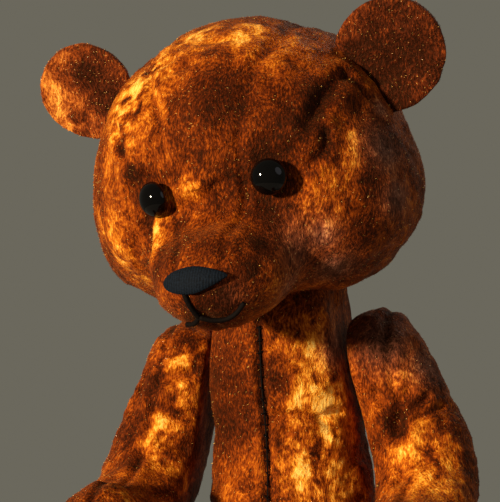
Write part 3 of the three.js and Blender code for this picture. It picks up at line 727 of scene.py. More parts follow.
EYE_RADIUS, EYE_HEIGHT = 3.65, 3.4
EYE_NUDGE = {"left": Vector((0.6, 0, -0.4)), "right": Vector((-0.8, 0, -0.6))}
eye_ways = {
    side: head_place.inverted() @ middle_of(f"eye_{side}") / MM + nudge
    for side, nudge in EYE_NUDGE.items()
}
eye_spots = {side: stuff_out(head_form, (0, 0, 0), [way[:]])[0] for side, way in eye_ways.items()}


def head_relief(points):
    depth = 0.40 + 0.30 * noise_at(points, 7, 2, 2.0)
    relief = fold(head_seams(points), depth, 0.8)
    relief += 0.45 * noise_at(points, 13, 2, 5.0) + 0.26 * noise_at(points, 5, 2, 9.0)
    relief += 0.12 * noise_at(points * (1, 1, 0.6), 2.2, 2, 19.0)
    relief = creased(relief, points, ((HEAD_FURROW, 2.0, 1.5), *HEAD_FOLDS))
    relief += 0.8 * near_to(distance_to(points, (26.5, -14, 10.5)), 3.2)
    relief += 1.3 * near_to(path_distance(points, HEAD_RIDGE), 2.2)
    relief += 0.9 * near_to(distance_to(points, (20, -16, -22)), 9)
    relief -= 1.7 * near_to(distance_to(points, (-21, -20, -20)), 10)
    for spot in eye_spots.values():
        relief -= 1.3 * near_to(distance_to(points, spot), 5.0)
    return np.maximum(relief, HEAD_DEEPEST) - 0.25


def head_held(points):
    held = near_to(head_seams(points), 0.9)
    held = np.maximum(held, points[:, 2] < HEAD_BASE + 1.5)
    held = np.maximum(held, near_to(distance_to(points, (0, -44, -15)), 9))
    for spot in eye_spots.values():
        held = np.maximum(held, near_to(distance_to(points, spot), 4.5))
    return held


head_ball = blown_ball(head_form, HEAD_HEART)
head_cover, head_points = sew("head", head_ball, head_place, head_held, head_relief)
head_nap = nap_with_sheen_and_shade(head_points, 1.0, HEAD_NAP_AND_LIGHT_PATCHES)
# Painted shade in the seams, the furrow, the folds and the hollows round the eyes, and a painted highlight
# along the ridge on the muzzle.
head_nap -= 0.10 * near_to(head_seams(head_points), 0.8)
head_nap -= 0.26 * near_to(path_distance(head_points, HEAD_FURROW), 2.4)
head_nap = nap_shaded_in_folds(head_nap, head_points, HEAD_FOLDS, 0.28)
head_nap += 0.22 * near_to(path_distance(head_points, HEAD_RIDGE), 1.5)
for eye_spot in eye_spots.values():
    head_nap -= 0.25 * near_to(distance_to(head_points, eye_spot), 5.2)
dress(head_cover, "head", head_nap, spots_of(head_points, HEAD_SHEEN_SPOTS), 0.95,
      "head_left_panel", "head_right_panel", "head_gusset")


def head_pile_area(side):
    """The side panel's half of the head, bare at the neck joint, under the eyes and the nose."""
    def keep(points):
        centred = np.hypot(points[:, 0], points[:, 1] + HEAD_CENTRE.y / MM)
        bare = (points[:, 2] < HEAD_BASE + 1.0) & (centred < NECK_SEAT + 1)
        for spot in eye_spots.values():
            bare |= distance_to(points, spot) < EYE_RADIUS + 0.3
        nose = (np.abs(points[:, 0]) < NOSE_BARE_HALF) & (points[:, 1] < -40)
        nose &= np.abs(points[:, 2] - NOSE_HEIGHT) < NOSE_BARE_RISE
        return (points[:, 0] * side > 0) & ~bare & ~nose
    return keep


for pile_side, pile_sign, pile_shift in (("left", 1, 11.0), ("right", -1, 12.0)):
    grow_pile(f"head_{pile_side}_pile", head_cover, "head", head_place, HEAD_TUFTS, pile_shift,
              (0.3 * pile_sign, 1, -0.5), head_pile_area(pile_sign))

# ---- eyes ----
# Two black glass eyes on wire loops, each a tall dome with a rounded back edge. Its back lies on
# the cloth, in the hollow that its thread draws in.
EYE_EDGE = 0.5
DOME = EYE_HEIGHT - EYE_EDGE
EYE_TURN = {"left": 4, "right": 22}


def eye_material():
    settings = {
        "Base Color": (0.0014, 0.0012, 0.0012, 1),
        "IOR": 1.5,
        "Specular IOR Level": 0.2,
    }
    material, tree, shader = new_material("black_glass", settings)
    smear = fine_noise(tree, {"Scale": 500, "Detail": 4})
    dull = scaled(tree, smear, {"To Min": 0.02, "To Max": 0.10})
    set_inputs(tree, shader, {"Roughness": dull})
    return material


black_glass = eye_material()


def form_normal(form, spot, step=0.05):
    ahead = np.array([np.array(spot) + step * np.eye(3)[k] for k in range(3)])
    behind = np.array([np.array(spot) - step * np.eye(3)[k] for k in range(3)])
    return Vector(form(ahead) - form(behind)).normalized()


def in_order(bm):
    """Puts a mesh's edges and faces in one fixed order, so that every run gives the same bear."""
    bm.verts.index_update()
    count = len(bm.verts)

    def rank(part):
        value = 0
        for index in sorted(vertex.index for vertex in part.verts):
            value = value * count + index
        return value

    bm.edges.sort(key=rank)
    bm.faces.sort(key=rank)


def add_eye(side):
    spot = Vector(eye_spots[side])
    facing = form_normal(head_form, spot)
    sideways = Matrix.Rotation(radians(EYE_TURN[side]) * (1 if spot.x > 0 else -1), 3, "Z")
    facing = (sideways @ facing).normalized()
    bm = bmesh.new()
    profile = [(0, -0.2), (EYE_RADIUS * 0.86, -0.2), (EYE_RADIUS * 0.97, 0.1)]
    profile += [(EYE_RADIUS * cos(k * pi / 24), EYE_EDGE + DOME * sin(k * pi / 24)) for k in range(13)]
    profile[-1] = (0, EYE_EDGE + DOME)
    verts = [bm.verts.new((x, 0, z)) for x, z in profile]
    edges = [bm.edges.new(pair) for pair in zip(verts, verts[1:])]
    bmesh.ops.spin(bm, geom=verts + edges, cent=(0, 0, 0), axis=(0, 0, 1), angle=2 * pi, steps=40,
                   use_merge=True)
    bmesh.ops.remove_doubles(bm, verts=bm.verts, dist=1e-4)
    bmesh.ops.recalc_face_normals(bm, faces=bm.faces)
    bmesh.ops.scale(bm, vec=(MM, MM, MM), verts=bm.verts)
    in_order(bm)
    turn = facing.to_track_quat("Z", "Y").to_matrix().to_4x4()
    place = head_place @ Matrix.Translation((spot + facing * 0.1) * MM) @ turn
    eye = new_object(f"eye_{side}_dome", bm, place)
    eye.data.materials.append(black_glass)
    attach(eye, "head")
    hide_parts(f"eye_{side}")


add_eye("left")
add_eye("right")

# ---- nose and mouth ----
# The nose is a leaf of dark blue-black cloth, padded and stitched over from top to bottom. The
# mouth is one dark waxed thread: a drop from the nose, and a hook to each side.
NOSE_MIDDLE, NOSE_HALF, NOSE_RISE = (-0.4, NOSE_HEIGHT), 6.8, 2.5
NOSE_SET, NOSE_THICK = 0.35, 0.8
MOUTH_DROP = ((-1.6, -15.6), (-1.4, -16.8), (-1.2, -17.8), (-0.9, -19))
MOUTH_LEFT = ((-0.9, -19), (0.7, -20), (2.4, -20.5), (4.1, -20), (5.7, -18.6))
MOUTH_RIGHT = ((-0.9, -19), (-1.8, -20), (-2.9, -20.7), (-4.1, -20.9))
THREAD_RADIUS, THREAD_LIFT = 0.5, -0.15


def muzzle_spots(points, lift):
    """Places on the muzzle's front, from x and z, held off the cloth."""
    heart = (0, MUZZLE[0][1], MUZZLE[0][2])
    ways = [(x, -9, z - heart[2]) for x, z in points]
    return stuff_out(head_form, heart, ways, lift)


def nose_material():
    settings = {"Roughness": 0.8, "Specular IOR Level": 0.1}
    material, tree, shader = new_material("nose_stitching", settings)
    values = {"Scale": 560, "Distortion": 2.5, "Detail": 2, "Vector": own_place(tree)}
    strand = add_node(tree, "ShaderNodeTexWave", values).outputs["Fac"]
    values = {0: strand, 1: 0.22, 2: fine_noise(tree, {"Scale": 2600, "Detail": 3})}
    both = add_node(tree, "ShaderNodeMath", values, operation="MULTIPLY_ADD").outputs[0]
    stops = ((0.3, (0.0006, 0.0011, 0.0022, 1)), (1.0, (0.006, 0.0115, 0.021, 1)))
    set_inputs(tree, shader, {"Base Color": colour_ramp(tree, both, stops)})
    add_bump(tree, shader, both, 0.7, 0.00025)
    return material


def front_ball(columns, rows):
    """A ball with its poles to the front and the back."""
    bm = bmesh.new()
    bmesh.ops.create_uvsphere(bm, u_segments=columns, v_segments=rows, radius=1)
    bmesh.ops.rotate(bm, cent=(0, 0, 0), matrix=Matrix.Rotation(pi / 2, 3, "X"), verts=bm.verts)
    in_order(bm)
    return bm


def add_nose():
    """A flattened ball shaped to the leaf and laid on the muzzle."""
    bm = front_ball(56, 28)
    starts, lifts = [], []
    for vertex in bm.verts:
        x, y, z = vertex.co
        taper = (1 - 0.42 * max(x, 0) ** 1.5) if z > 0 else (1 - 0.62 * max(x, 0) ** 1.3)
        rise = NOSE_RISE * z * taper - 0.35 * x * x
        starts.append((NOSE_MIDDLE[0] + NOSE_HALF * x, MUZZLE[0][1], NOSE_MIDDLE[1] + rise))
        lifts.append(NOSE_SET + NOSE_THICK * (-y if y < 0 else 0.15 * -y))
    for vertex, start, lift in zip(bm.verts, starts, lifts):
        vertex.co = stuff_out(head_form, start, [(0, -1, 0)], lift)[0] * MM
    bm.normal_update()
    bmesh.ops.recalc_face_normals(bm, faces=bm.faces)
    nose = new_object("nose_leaf", bm, head_place)
    nose.data.materials.append(nose_material())
    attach(nose, "head")
    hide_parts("nose")


add_nose()


def grained_material(name, grain, colours, strength, distance, settings):
    """A material whose colour and relief both follow one fine noise."""
    material, tree, shader = new_material(name, settings)
    height = fine_noise(tree, grain)
    stops = tuple(zip((0.0, 1.0), colours))
    set_inputs(tree, shader, {"Base Color": colour_ramp(tree, height, stops)})
    add_bump(tree, shader, height, strength, distance)
    return material


waxed_thread = grained_material(
    "waxed_thread", {"Scale": 1800, "Detail": 3},
    ((0.0006, 0.0004, 0.0003, 1), (0.0050, 0.0024, 0.0015, 1)),
    0.6, 0.0002, {"Roughness": 0.8, "Specular IOR Level": 0.08},
)


def thread_along(bm, spots, radius, sides=8):
    """Adds a round thread through places given in millimetres, with closed ends."""
    spots = [Vector(spot) for spot in spots]
    ring = bmesh.ops.create_circle(bm, cap_ends=True, segments=sides, radius=radius)["verts"]
    heading = Vector((0, 0, 1))
    bmesh.ops.translate(bm, vec=spots[0], verts=ring)
    for k, spot in enumerate(spots):
        ahead = (spots[min(k + 1, len(spots) - 1)] - spots[max(k - 1, 0)]).normalized()
        turn = heading.rotation_difference(ahead).to_matrix()
        if k == 0:
            bmesh.ops.rotate(bm, cent=spot, matrix=turn, verts=ring)
        else:
            face = next(f for f in ring[0].link_faces if set(f.verts) == set(ring))
            grown = bmesh.ops.extrude_face_region(bm, geom=[face])["geom"]
            ring = [v for v in grown if isinstance(v, bmesh.types.BMVert)]
            if k > 1:
                bmesh.ops.delete(bm, geom=[face], context="FACES_ONLY")
            bmesh.ops.translate(bm, vec=spot - spots[k - 1], verts=ring)
            bmesh.ops.rotate(bm, cent=spot, matrix=turn, verts=ring)
        heading = ahead


def smooth_path(points, steps):
    """A smooth line through points, in equal steps."""
    points = np.array(points, float)
    ends = np.vstack([2 * points[0] - points[1], points, 2 * points[-1] - points[-2]])
    line = []
    for k in range(1, len(ends) - 2):
        a, b, c, d = ends[k - 1:k + 3]
        for t in np.linspace(0, 1, 24, endpoint=k == len(ends) - 3):
            line.append(0.5 * (2 * b + (c - a) * t + (2 * a - 5 * b + 4 * c - d) * t * t
                               + (3 * b - a - 3 * c + d) * t ** 3))
    line = np.array(line)
    travelled = np.concatenate([[0], np.cumsum(np.linalg.norm(np.diff(line, axis=0), axis=1))])
    places = np.linspace(0, travelled[-1], steps)
    return np.stack([np.interp(places, travelled, line[:, k]) for k in range(line.shape[1])], 1)


def add_thread(name, bm, place, body, node):
    bmesh.ops.recalc_face_normals(bm, faces=bm.faces)
    bmesh.ops.scale(bm, vec=(MM, MM, MM), verts=bm.verts)
    in_order(bm)
    thread = new_object(name, bm, place)
    thread.data.materials.append(waxed_thread)
    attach(thread, body)
    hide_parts(node)


def add_mouth():
    bm = bmesh.new()
    for strand in (MOUTH_DROP, MOUTH_LEFT, MOUTH_RIGHT):
        thread_along(bm, muzzle_spots(smooth_path(strand, 18), THREAD_LIFT), THREAD_RADIUS)
    add_thread("mouth_stitches", bm, head_place, "head", "mouth_thread")


add_mouth()

# ---- ears ----
# Each ear is two discs of plush sewn round the rim, cupped forwards and sewn to the head along
# its lower edge, where it pulls in.
EAR_CENTRE = {"left": (34.6, 0.5, 16.3), "right": (-32.4, 0.5, 20.6)}
EAR_RADIUS = {"left": 12.5, "right": 11.1}
EAR_HALF_THICKNESS, EAR_CUP, EAR_LEAN, EAR_TUFTS = 2.9, 2.6, 27, 5500
# Lighter and darker patches of each ear's nap: partly its own, partly painted shade where the head shades the
# ear and at its base, and painted light on its lit side.
EAR_NAP_AND_LIGHT_PATCHES = {
    "left": ((-5, -3, -1, 3.0, -0.4), (0, -3, -6, 2.8, -0.4), (4, -3, -9, 2.0, -0.3), (7, -3, -4, 2.0, 0.1),
             (-5, -3, 7, 2.8, -0.15), (2, -3, 3, 4, -0.08), (0, -3, 0, 8, -0.26)),
    "right": ((-6, -3, 5, 2.6, 0.15), (-6, -3, -3, 2.8, 0.24), (2, -3, 10, 1.9, 0.1), (3, -3, 3, 2.8, -0.3),
              (3, -3, -4, 2.8, -0.25)),
}


def add_ear(side, sign, shift):
    radius = EAR_RADIUS[side]
    place = (
        head_place
        @ Matrix.Translation(Vector(EAR_CENTRE[side]) * MM)
        @ Matrix.Rotation(radians(sign * EAR_LEAN), 4, "Y")
    )
    bm = front_ball(72, 36)
    for vertex in bm.verts:
        x, y, z = vertex.co
        reach = x * x + z * z
        low = max(-z, 0)
        wide = radius * 0.96
        gather = 1 - 0.25 * low
        cup = EAR_CUP * reach + 0.9 * low * low * (1 - abs(x))
        pinch = 1 - 0.11 * max(0.75 * sign * x - 0.66 * z, 0) ** 2
        wide *= pinch
        vertex.co = Vector((wide * x, EAR_HALF_THICKNESS * y * gather - cup, radius * pinch * z)) * MM
    ear = new_object(f"ear_{side}_cover", bm, place)

    def relief(points):
        middle = points[:, 1] + EAR_CUP * (points[:, 0] ** 2 + points[:, 2] ** 2) / radius ** 2
        rim = np.abs(middle) + 0.15 * np.maximum(radius - np.hypot(points[:, 0], points[:, 2]), 0) ** 2
        bumps = 0.35 * noise_at(points, 6, 2, shift) + 0.12 * noise_at(points, 2.4, 2, shift + 3)
        return fold(rim, 0.35, 0.5) + bumps - 0.15

    push(ear, place, relief)
    points = to_local(mesh_points(ear.data), place)
    # The nap holds painted light and shade, and a little mauve painted sheen lies all over the ear.
    nap = nap_with_sheen_and_shade(points, shift, EAR_NAP_AND_LIGHT_PATCHES[side])
    dress(ear, "head", nap, 0.1 * np.ones(len(points)), 0.5, f"ear_{side}_front", f"ear_{side}_back")
    grow_pile(f"ear_{side}_pile", ear, "head", place, EAR_TUFTS, shift, (0.2 * sign, 0, 1),
              lambda points: np.ones(len(points)))


add_ear("left", 1, 31.0)
add_ear("right", -1, 37.0)

# ---- torso ----
# Two panels sewn down the back and closed by hand down the front with dark thread, stuffed firmly.
# It is flat where it sits and at the five disc joints, and it leans to the bear's right.
HIPS = ((0, 0, 14), (20.5, 19.5, 17))
BELLY = ((0, 0, 34), (18.2, 19.4, 30))
CHEST = ((0, 0.5, 68), (17.6, 17, 24))
NECK = ((1.2, 1, 86), (14, 13.4, 13))
NECK_PIVOT = Vector((0, 0.5, 91.5))
TORSO_BLEND, LEAN, LEAN_FROM, TORSO_TUFTS = 9, 0.08, 71, 26000
POCKET = {"shoulder": 18, "hip": 14.6}
torso_place = Matrix.Translation(Vector(joints["neck"]["pos_m"]) - NECK_PIVOT * MM)


def upright(points):
    """Undoes the torso's lean."""
    straight = points * 1.0
    straight[:, 0] -= (LEAN_FROM - straight[:, 2]) * LEAN
    return straight


def joint_faces():
    """Each joint's flat contact face on the torso: a place, the way out and a radius."""
    faces = []
    for kind, pocket in POCKET.items():
        for side, sign in (("left", 1), ("right", -1)):
            joint = joints[f"{kind}_{side}"]
            spot = np.array(torso_place.inverted() @ Vector(joint["pos_m"])) / MM
            faces.append((spot, sign * np.array(joint["axis"]), pocket))
    faces.append((np.array(NECK_PIVOT), np.array(joints["neck"]["axis"]), 30))
    return faces


torso_faces = joint_faces()


def torso_form(points):
    straight = upright(points)
    whole = joined(oval(straight, HIPS), oval(straight, BELLY), TORSO_BLEND)
    whole = joined(whole, oval(straight, CHEST), TORSO_BLEND)
    whole = joined(whole, oval(straight, NECK), TORSO_BLEND)
    whole = trimmed(whole, 0.15 - points[:, 2], 1.5)
    for spot, out, pocket in torso_faces:
        beyond = (points - spot) @ out
        radius = np.linalg.norm(points - spot - beyond[:, None] * out, axis=1)
        whole = trimmed(whole, np.minimum(beyond + SKIN_FACE, pocket - radius), 1.0)
    return whole


def torso_flats(points):
    """How near each point is to a joint's face or to the floor, 1 on it and 0 away from it."""
    flat = near_to(points[:, 2], 1.2)
    for spot, out, pocket in torso_faces:
        beyond = (points - spot) @ out
        radius = np.linalg.norm(points - spot - beyond[:, None] * out, axis=1)
        flat = np.maximum(flat, near_to(beyond, 1.4) * (radius < pocket + 0.6))
    return flat


def torso_seam(points):
    return np.abs(upright(points)[:, 0])


TORSO_CREASES = (
    (((2, -16, 61), (7, -15, 61.8), (12, -12, 61), (15.5, -8, 62)), 0.9, 0.9),
    (((-11, -13, 66), (-4, -16, 67), (0, -16.5, 66)), 0.4, 0.5),
    (((1, -17, 71), (4, -16.5, 68)), 0.6, 1.6),
    (((12, -12, 61), (15, -9.5, 58)), 0.5, 0.7),
    (((-12, -12, 48), (-6, -15.5, 46), (0, -16.5, 47)), 0.4, 0.9),
)
# Lighter and darker patches of the torso's nap: partly its own, partly painted light on the lit panel and
# painted shade under the chin and on the shaded side.
TORSO_NAP_AND_LIGHT_PATCHES = (
    (-5, -16, 73, 4.2, 0.02), (8, -14, 76, 4.2, 0.24), (12, -10, 74, 2.3, 0.18), (4, -16, 69, 2.7, -0.32),
    (14, -7, 74, 1.7, -0.2), (14, -10, 63, 2.0, 0.24), (14, -10, 56, 3.6, 0.22), (11, -13, 50, 3.8, 0.2),
    (17, -7, 47, 2.3, 0.2), (5, -15, 58, 2.1, -0.15), (0, -16, 65, 1.9, -0.15), (-6, -15, 49, 3.8, 0.1),
    (-5, -15, 77, 2.5, 0.1), (-8, -14, 64, 2.5, 0.08), (9, -14, 66, 2.4, 0.14), (-10, -13, 60, 8, -0.22),
    (10, -13, 64, 7, 0.26), (10, -13, 50, 7, 0.24), (9, -14, 75, 5, 0.14), (-8, -14, 74, 5, -0.12),
)


def torso_relief(points):
    free = 1 - torso_flats(points)
    front = points[:, 1] < 0
    depth = np.where(front, 1.0 + 0.4 * noise_at(points * (0, 0, 1), 4, 2, 3.0), 0.6)
    relief = fold(torso_seam(points), depth, 0.9)
    relief += 0.42 * noise_at(points, 10, 2, 15.0) + 0.30 * noise_at(points * (1, 1, 1.3), 4.6, 2, 29.0)
    relief += 0.13 * noise_at(points, 2.0, 2, 39.0)
    relief = creased(relief, points, TORSO_CREASES)
    return free * np.maximum(relief, DEEPEST) - 0.1


def torso_held(points):
    return np.maximum(near_to(torso_seam(points), 0.9), torso_flats(points))


torso_ball = blown_ball(torso_form, (1, 0, 46), 1.5)
torso_cover, torso_points = sew("torso", torso_ball, torso_place, torso_held, torso_relief)
torso_nap = nap_with_sheen_and_shade(torso_points, 4.0, TORSO_NAP_AND_LIGHT_PATCHES)
# Painted shade in the closing seam and along the creases, and a spot of mauve painted sheen on the upper
# chest.
torso_nap -= 0.30 * near_to(torso_seam(torso_points), 0.9)
torso_nap = nap_shaded_in_folds(torso_nap, torso_points, TORSO_CREASES, 0.25)
dress(torso_cover, "torso", torso_nap, spots_of(torso_points, ((15, -7, 75, 3, 0.7),)), 0.9,
      "torso_left_panel", "torso_right_panel")
grow_pile("torso_pile", torso_cover, "torso", torso_place, TORSO_TUFTS, 13.0, (0.2, 0, -1),
          lambda points: torso_flats(points) < 0.3)

# The closing seam is a ladder of short dark stitches down the front.
SEAM_TOP, SEAM_BOTTOM, STITCH_PITCH, STITCH_HALF = 80.0, 12.0, 2.5, 0.62
STITCH_RADIUS, STITCH_LIFT, RUN_RADIUS, RUN_LIFT = 0.14, -0.55, 0.2, -0.95


def add_seam_stitches():
    bm = bmesh.new()
    chance = np.random.default_rng(5)
    for height in np.arange(SEAM_BOTTOM, SEAM_TOP, STITCH_PITCH):
        tilt = 0.5 * chance.normal() * 0.6
        half = STITCH_HALF * (0.8 + 0.4 * chance.random())
        spots = []
        for share in np.linspace(-1, 1, 5):
            z = height + tilt * share
            x = half * share + (LEAN_FROM - z) * LEAN
            lift = STITCH_LIFT - 0.4 * abs(share) ** 3
            spots.append(stuff_out(torso_form, (x, 0, z), [(0, -1, 0)], lift)[0])
        thread_along(bm, spots, STITCH_RADIUS, 6)
    run = [stuff_out(torso_form, ((LEAN_FROM - z) * LEAN, 0, z), [(0, -1, 0)], RUN_LIFT)[0]
           for z in np.linspace(SEAM_BOTTOM, SEAM_TOP, 60)]
    thread_along(bm, run, RUN_RADIUS, 6)
    add_thread("closing_stitches", bm, torso_place, "torso", "closing_seam_thread")


add_seam_stitches()

# ---- arms ----
# Each arm is two panels sewn round the middle, with a bent elbow and a rounded paw. Its inner
# side is flat against the shoulder joint, and the cloth puckers at the front seam.
ARM_SWING = {"left": -5, "right": 8}
ARM = {
    "path": ((6.4, 0, 12), (7, 0, 0), (9.4, -0.5, -12), (10.8, -3, -23), (10.8, -11, -31),
             (10.4, -22, -34), (10, -34, -32.5), (10, -41, -30.5)),
    "across": (9, 10, 10.6, 10.8, 10.4, 9.4, 9.2, 9),
    "side": (8.6, 9.8, 10.9, 11.6, 11, 9.8, 9, 8.6),
    "cap": 10,
}
ARM_SEAM, ARM_TUFTS = 10.3, 13500
ARM_CREASES = {
    "left": (
        (((6, -10, -5), (8, -11, -9), (8.6, -11.6, -15), (8.4, -15.5, -23)), 1.1, 1.0),
        (((9, -11, -12), (11, -10.5, -8), (13, -9, -6)), 0.9, 0.9),
        (((9, -11, -11.5), (13, -9.5, -9.5), (16.5, -7, -8)), 0.8, 0.8),
        (((9.5, -11, -12.5), (14, -9.5, -11.5), (18.5, -5, -10.5)), 0.7, 0.8),
        (((9, -11, -12.5), (6, -10.5, -10)), 0.6, 0.8),
        (((9, -11, -11), (9.6, -11.2, -14)), 1.0, 1.5),
    ),
    "right": (
        (((2, -7.5, 1), (5, -9.5, -1), (10, -10, -2)), 0.8, 1.1),
        (((1, -8, -9), (5, -10.5, -9), (10, -11, -8)), 0.8, 1.1),
        (((2, -8, -16), (5, -11.5, -15.5), (10, -12, -13)), 0.8, 1.1),
        (((12, -9, 3), (15, -7, -4), (15, -8, -10)), 0.5, 1.0),
    ),
}
# Lighter and darker patches of each arm's nap: partly its own, partly painted light and painted shade, with
# painted shade at the top of the left arm in the head's shadow.
ARM_NAP_AND_LIGHT_PATCHES = {
    "left": (
        (12, -9, -3, 2.7, 0.25), (10, -7, 5, 3.8, -0.1), (9, -11, -12, 2.1, -0.3), (14, -9, -9, 1.7, -0.15),
        (15, -12, -20, 3.7, 0.25), (19, -15, -25, 2.7, 0.28), (10, -11, -18, 2.3, 0.2),
        (4, -10, -15, 1.9, -0.12), (18, -8, -15, 1.9, -0.1), (6, -10, 1, 1.7, -0.05), (14, -10, -13, 2, 0.15),
        (14, -12, -20, 7, 0.13),
    ),
    "right": (
        (2, -7, 6, 1.9, 0.25), (5, -9, 3, 1.9, 0.25), (7, -9, 0, 1.9, 0.25), (5, -10, -3, 1.9, 0.3),
        (3, -9, -6, 1.9, 0.25), (7, -10, -12, 2.4, 0.25), (9, -12, -16, 2.2, 0.25), (5, -12, -20, 2.4, 0.25),
        (1, -10, -23, 2.1, 0.3), (12, -10, -4, 2.6, -0.22), (13, -10, -11, 2.4, -0.18),
        (2, -8, -15, 2.2, -0.22), (1, -8, 0, 1.7, -0.22),
        (11, -14, -20, 1.9, -0.15), (4, -32, -26, 2.8, 0.3), (8, -7, 9, 2.2, -0.1),
        (5, -9, 1, 5, 0.14), (6, -11, -14, 6, 0.14),
    ),
}
# Spots of mauve painted sheen on the top of the left arm.
ARM_SHEEN_SPOTS = {"left": ((10, -7, 6, 4.5, 0.8), (17, -3, -2, 3.5, 0.7)), "right": ()}


def limb_rings(limb, count=400):
    """Places along a limb: distances, middles, headings and the two radii of each oval."""
    path = smooth_path(limb["path"], count)
    travelled = np.linspace(0, np.linalg.norm(np.diff(path, axis=0), axis=1).sum(), count)
    stations = [np.linalg.norm(path - point, axis=1).argmin() for point in np.array(limb["path"])]
    stations = travelled[stations]
    heading = np.gradient(path, axis=0) * (0, 1, 1)
    across = np.interp(travelled, stations, limb["across"])
    side = np.interp(travelled, stations, limb["side"])
    return travelled, path, unit(heading), across, side


def limb_ball(limb, columns, rows):
    """A ball pulled out along a limb. It gives the ball, its points and what they were made
    from: the place along the limb and its length, the middle, and the ring's size and radii."""
    bm = bmesh.new()
    bmesh.ops.create_uvsphere(bm, u_segments=columns, v_segments=rows, radius=1)
    in_order(bm)
    points = np.array([v.co[:] for v in bm.verts])
    travelled, path, heading, across, side = limb_rings(limb)
    length, cap = travelled[-1], limb["cap"]
    surface = length - 2 * cap + pi * cap
    place = np.arccos(np.clip(points[:, 2], -1, 1)) / pi * surface
    back = np.minimum(place, surface - place)
    turn = np.minimum(back / cap, pi / 2)
    depth = np.where(turn < pi / 2, cap * (1 - np.cos(turn)), cap + back - cap * pi / 2)
    size = np.sin(turn)
    at = np.where(place < surface / 2, depth, length - depth)
    middle = np.stack([np.interp(at, travelled, path[:, k]) for k in range(3)], 1)
    ahead = unit(np.stack([np.interp(at, travelled, heading[:, k]) for k in range(3)], 1))
    sideways = np.cross((1, 0, 0), ahead)
    round_about = np.arctan2(points[:, 1], points[:, 0])
    width = np.interp(at, travelled, side) * np.cos(round_about)
    height = np.interp(at, travelled, across) * np.sin(round_about)
    points = middle + sideways * (height * size)[:, None]
    points[:, 0] += width * size
    return bm, points, (at, length, middle, size, width, height)


def flatten_inside(points, face, soft=1.2):
    """Holds a limb's inner side flat at the joint's face."""
    points[:, 0] = -joined(-points[:, 0], np.full(len(points), -face), soft)
    return points


def limb_mesh(bm, points, sign):
    for vertex, spot in zip(bm.verts, points * (sign, 1, 1)):
        vertex.co = spot * MM
    if bm.calc_volume(signed=True) < 0:
        bmesh.ops.reverse_faces(bm, faces=bm.faces)
    return bm


def add_arm(side, sign, shift):
    joint = joints[f"shoulder_{side}"]
    axis = Vector(joint["axis"])
    place = (
        Matrix.Translation(joint["pos_m"])
        @ Matrix.Rotation(atan2(-axis.z, axis.x), 4, "Y")
        @ Matrix.Rotation(radians(-ARM_SWING[side]), 4, "X")
    )
    bm, points = limb_ball(ARM, 52, 84)[:2]
    bm = limb_mesh(bm, flatten_inside(points, SKIN_FACE), sign)

    def held(points):
        points = points * (sign, 1, 1)
        return np.maximum(near_to(points[:, 0] - ARM_SEAM, 0.9), near_to(points[:, 0] - SKIN_FACE, 0.8))

    def relief(points):
        points = points * (sign, 1, 1)
        free = 1 - near_to(points[:, 0] - SKIN_FACE, 1.0)
        moved = fold(np.abs(points[:, 0] - ARM_SEAM), 0.5 + 0.25 * noise_at(points, 5, 2, shift), 0.8)
        moved += (
            0.5 * noise_at(points, 9, 2, shift + 2)
            + 0.3 * noise_at(points * (1, 1, 1.3), 4.2, 2, shift + 5)
        )
        moved += 0.13 * noise_at(points, 1.9, 2, shift + 8)
        moved = creased(moved, points, ARM_CREASES[side])
        return free * np.maximum(moved, DEEPEST) - 0.1

    arm, points = sew(f"arm_{side}", bm, place, held, relief)
    points = points * (sign, 1, 1)
    nap = nap_with_sheen_and_shade(points, shift, ARM_NAP_AND_LIGHT_PATCHES[side])
    # Painted shade in the seam and along the creases.
    nap -= 0.14 * near_to(points[:, 0] - ARM_SEAM, 0.8)
    nap = nap_shaded_in_folds(nap, points, ARM_CREASES[side], 0.2)
    dress(arm, f"arm_{side}", nap, spots_of(points, ARM_SHEEN_SPOTS[side]), 0.85,
          f"arm_{side}_inner_panel", f"arm_{side}_outer_panel")
    grow_pile(f"arm_{side}_pile", arm, f"arm_{side}", place, ARM_TUFTS, shift, (0.3, -0.2, -1),
              lambda points: points[:, 0] * sign > SKIN_FACE + 1.0)


add_arm("left", 1, 51.0)
add_arm("right", -1, 57.0)

# ---- legs ----
# Each leg is two panels and an oval sole. The foot stands up at the end, and the underside is
# flat where it lies on the floor.
LEG = {
    "path": ((8, 13, 0), (8, 0, 0), (10, -18, -0.9), (11, -38, -2.1), (11, -56, -3.1), (11, -70, -3.1)),
    "across": (12.7, 12.7, 11.8, 10.6, 9.6, 9.6),
    "side": (12.2, 12.2, 11.8, 10.8, 10, 10),
    "cap": 12,
}
FOOT = ((11, -64, 7.6), (12.4, 17, 19.4))
SOLE_AT, FOOT_LENGTH, FLOOR_GAP, LEG_TUFTS = 74.0, 16, 0.15, 11000


